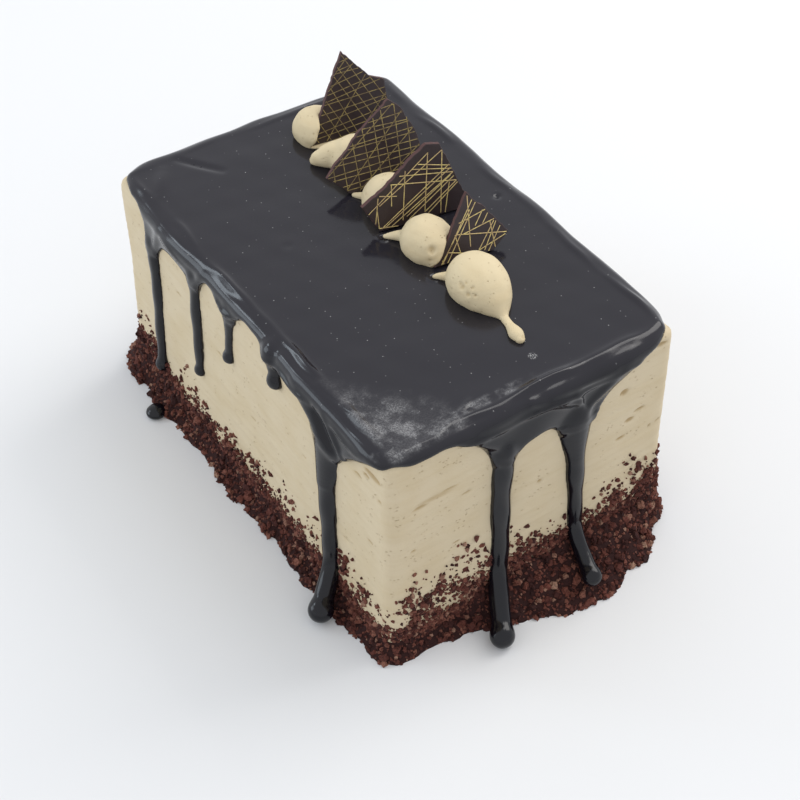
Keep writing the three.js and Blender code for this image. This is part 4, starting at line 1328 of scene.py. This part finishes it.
# On the two plates in front: from (across, up) to (across, up) the plate.
LINES = {
    "front": (
        (16.8, 23.5, 15.2, 4), (18.4, 21.5, 2.4, -1), (19.6, 20.2, 4.4, -1), (17, 18, 1.8, -1),
        (10.2, 10, 30.4, 5.6),
        (5.9, 4.2, 15.5, 1.2), (12, 14, 23, 16.4), (12.8, 9.4, 26, 12), (22, 16.6, 18.2, 11.4),
        (23.8, 14.9, 21.2, 11.4), (25.8, 11.4, 18.2, 1.6), (26.6, 11, 20.5, 1), (28, 8.8, 22, 0.3),
        (30.4, 5.2, 25.8, 0), (18.2, 1.6, 30.4, 5.2), (24.2, 11.8, 24.9, 0.4), (9.8, 10, 11.1, 1.6),
        (3.4, 1.8, 4.3, -1),
    ),
    "second": (
        (-4.6, 8, 21.7, 26.8), (0.5, 10.6, 27.4, 26.4), (0.5, 1, 29.8, 19.8), (2, 1.1, 30.2, 18.2),
        (4.6, 0.9, 31.5, 16.4), (11, 3.2, 30, 15.2), (12, 1.9, 31.4, 14.6), (18.5, 3, 32.3, 12.4),
        (19.8, 2.1, 32.7, 11.6), (17.4, 23.2, 30.2, 19.3), (15, 21.8, 31.6, 17.6), (9.6, 20.5, 31.5, 16.2),
        (5.8, 18, 32.3, 12.5), (-0.5, 1.4, 7.2, 0.3), (0.9, 14.6, 7.8, 12.7), (21.7, 26.9, 18.4, 3),
        (27.5, 26.3, 24.8, 0.7), (12.1, 22, 9.3, 2.1), (6.1, 18, 5.3, 9.2), (0.3, 13.9, -1.8, 3.4),
        (-0.6, 9.4, -0.5, 1.4), (29.4, 12.6, 26.5, 0),
    ),
}
# On the two at the back: the directions in degrees, the spacing, and the unevenness of both.
LINE_SETS = {
    "third": ((90, 4.6, 0.2, 2.5), (1, 2.5, 0.3, 4), (38, 7.5, 0.5, 6)),
    "back": ((-64, 3.9, 0.25, 4), (7, 2.8, 0.3, 5), (44, 8.5, 0.5, 8)),
}


def within(outline, start, heading):
    """Where a line enters and leaves an outline, as distances from its start."""
    corners = np.array(outline, float)
    normal = np.array([-heading[1], heading[0]])
    side = (corners - start) @ normal
    edges = zip(side, np.roll(side, -1), corners, np.roll(corners, -1, 0))
    cuts = [(p + (q - p) * a / (a - b) - start) @ heading for a, b, p, q in edges if (a < 0) != (b < 0)]
    return sorted(cuts)


def ruled_lines(name, rng):
    """A plate's own lines, kept inside its outline, or lines ruled across it in several directions."""
    outline = PLATES[name][2]
    found = []
    for x0, y0, x1, y1 in LINES.get(name, ()):
        start, end = np.array((x0, y0), float), np.array((x1, y1), float)
        length = np.linalg.norm(end - start)
        heading = (end - start) / length
        cuts = within(outline, start, heading)
        if cuts and cuts[-1] > 0.8:
            found.append((start + heading * max(0, cuts[0] + 0.4),
                          start + heading * min(length, cuts[-1] - 0.4)))
    middle = np.mean(outline, 0)
    for degrees, spacing, uneven, swing in LINE_SETS.get(name, ()):
        for place in np.arange(-24, 24, spacing):
            angle = math.radians(degrees + rng.normal() * swing * 0.5)
            heading = np.array([math.cos(angle), math.sin(angle)])
            normal = np.array([-heading[1], heading[0]])
            start = middle + normal * (place + rng.normal() * uneven * spacing * 0.5)
            cuts = within(outline, start, heading)
            if len(cuts) >= 2 and cuts[1] - cuts[0] > 3:
                found.append((start + heading * (cuts[0] + 0.5), start + heading * (cuts[1] - 0.5)))
    return found


def line_recipe(material):
    """Flat strips along lines, of uneven width."""
    recipe = Recipe("gold_lines", Width="NodeSocketFloat", Thickness="NodeSocketFloat",
                    Unevenness="NodeSocketFloat")
    curve = recipe.node("GeometryNodeMeshToCurve", {"Mesh": recipe.given("Geometry")})
    curve = recipe.node("GeometryNodeResampleCurve", {"Curve": curve, "Count": 9})
    wobble = recipe.node("ShaderNodeTexNoise", {"Scale": 420.0, "Detail": 1.0}, out="Fac")
    radius = 1 + (wobble - 0.5) * recipe.given("Unevenness")
    curve = recipe.node("GeometryNodeSetCurveRadius", {"Curve": curve, "Radius": radius})
    curve = recipe.node("GeometryNodeSetCurveNormal", {"Curve": curve}, mode="Z_UP")
    profile = recipe.node("GeometryNodeCurvePrimitiveQuadrilateral",
                          {"Width": recipe.given("Width"), "Height": recipe.given("Thickness")})
    strips = recipe.node("GeometryNodeCurveToMesh",
                         {"Curve": curve, "Profile Curve": profile, "Fill Caps": True})
    recipe.end(strips, material)
    return recipe


def gold_paint(name, colour, thin_colour):
    """Gold cocoa butter: a dull yellow metal, thinner in places."""
    paint = Paint(name)
    thin = paint.cloud(1.6, 2).between(0.35, 0.65)
    base = paint.mixed(thin * 0.8, colour, thin_colour)
    return paint.finish(paint.cloud(0.8, 2), 0.05, Base_Color=base, Roughness=0.42, Metallic=0.35)


bright = line_recipe(gold_paint("gold_print", (0.80, 0.65, 0.25), (0.52, 0.36, 0.20)))
worn = line_recipe(gold_paint("worn_gold_print", (0.40, 0.31, 0.11), (0.16, 0.11, 0.06)))
PRINT_THICKNESS = 0.10      # millimetres
gold = {}
for i, name in enumerate(PLATES):
    pairs = ruled_lines(name, np.random.default_rng(80 + i))
    ends = np.array(pairs).reshape(-1, 2)
    wires = bpy.data.meshes.new("wires")
    wires.from_pydata(np.column_stack([ends * MM, np.full(len(ends), 0.02 * MM)]).tolist(),
                      [(2 * k, 2 * k + 1) for k in range(len(pairs))], [])
    ground = bpy.data.objects.new("wires", wires)
    bpy.context.scene.collection.objects.link(ground)
    printing = worn if name in LINE_SETS else bright
    gold[name] = printing.make(f"gold_lines_{name}", ground, Width=LINE_WIDTH[name] * MM,
                               Thickness=PRINT_THICKNESS * MM, Unevenness=1.1)
    gold[name].data.transform(metres(plate_place(name)))
    bpy.data.objects.remove(ground)
    print("plate", name, "has", len(pairs), "gold lines")

# %% [markdown]
# ## What each piece stands for
# Nothing moves on a cake, so every piece rides on its only body, and the solids that it shows are hidden.

# %% The pieces and the solids
def belongs(piece, finish, *solids):
    """A piece rides on the cake and shows some solids; its finish is not used."""
    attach(piece, "root")
    if solids:
        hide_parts(*solids)


belongs(cream_coat, "coffee_cream", "cream_body")
belongs(glaze, "dark_glaze", "chocolate_glaze")
belongs(fallen_drop, "dark_glaze", "fallen_glaze_drop")
belongs(crumb_bed, "chocolate_crumbs", "crumb_border")
for piece in strewn:
    belongs(piece, "chocolate_crumbs")
for number, piece in enumerate(teardrops, 1):
    belongs(piece, "piped_cream", f"piped_cream_{number}")
for name in PLATES:
    belongs(plates[name], "chocolate_plate", f"chocolate_shard_{name}")
    belongs(gold[name], "chocolate_plate")

# %% [markdown]
# The floor is no part of the cake. It is one large pale sheet that takes the cake's soft shadow and lights
# the walls from below, as a white table would.

# %% The floor
FLOOR_HALF = 4000           # millimetres from its middle to its edge
floor_corners = np.array([(-1, -1, 0), (1, -1, 0), (1, 1, 0), (-1, 1, 0)]) * FLOOR_HALF
floor_paint = Paint("pale_floor").finish(Base_Color=(0.74, 0.75, 0.76), Roughness=0.8)
floor = new_piece("floor", floor_corners, [(0, 1, 2, 3)], floor_paint)
floor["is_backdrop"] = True
print("floor", 2 * FLOOR_HALF * MM, "m wide")

# %% [markdown]
# Last, the box round the solids and the box round what is seen are printed side by side, so that it
# shows at once when a piece has grown out of its place.

# %% The sizes
boxes = {"cad": [list(corner) for corner in cad_box], "visual": [list(corner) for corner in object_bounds()]}
for label, (low, high) in boxes.items():
    print(label, [round(1000 * c, 1) for c in low], [round(1000 * c, 1) for c in high], "mm")
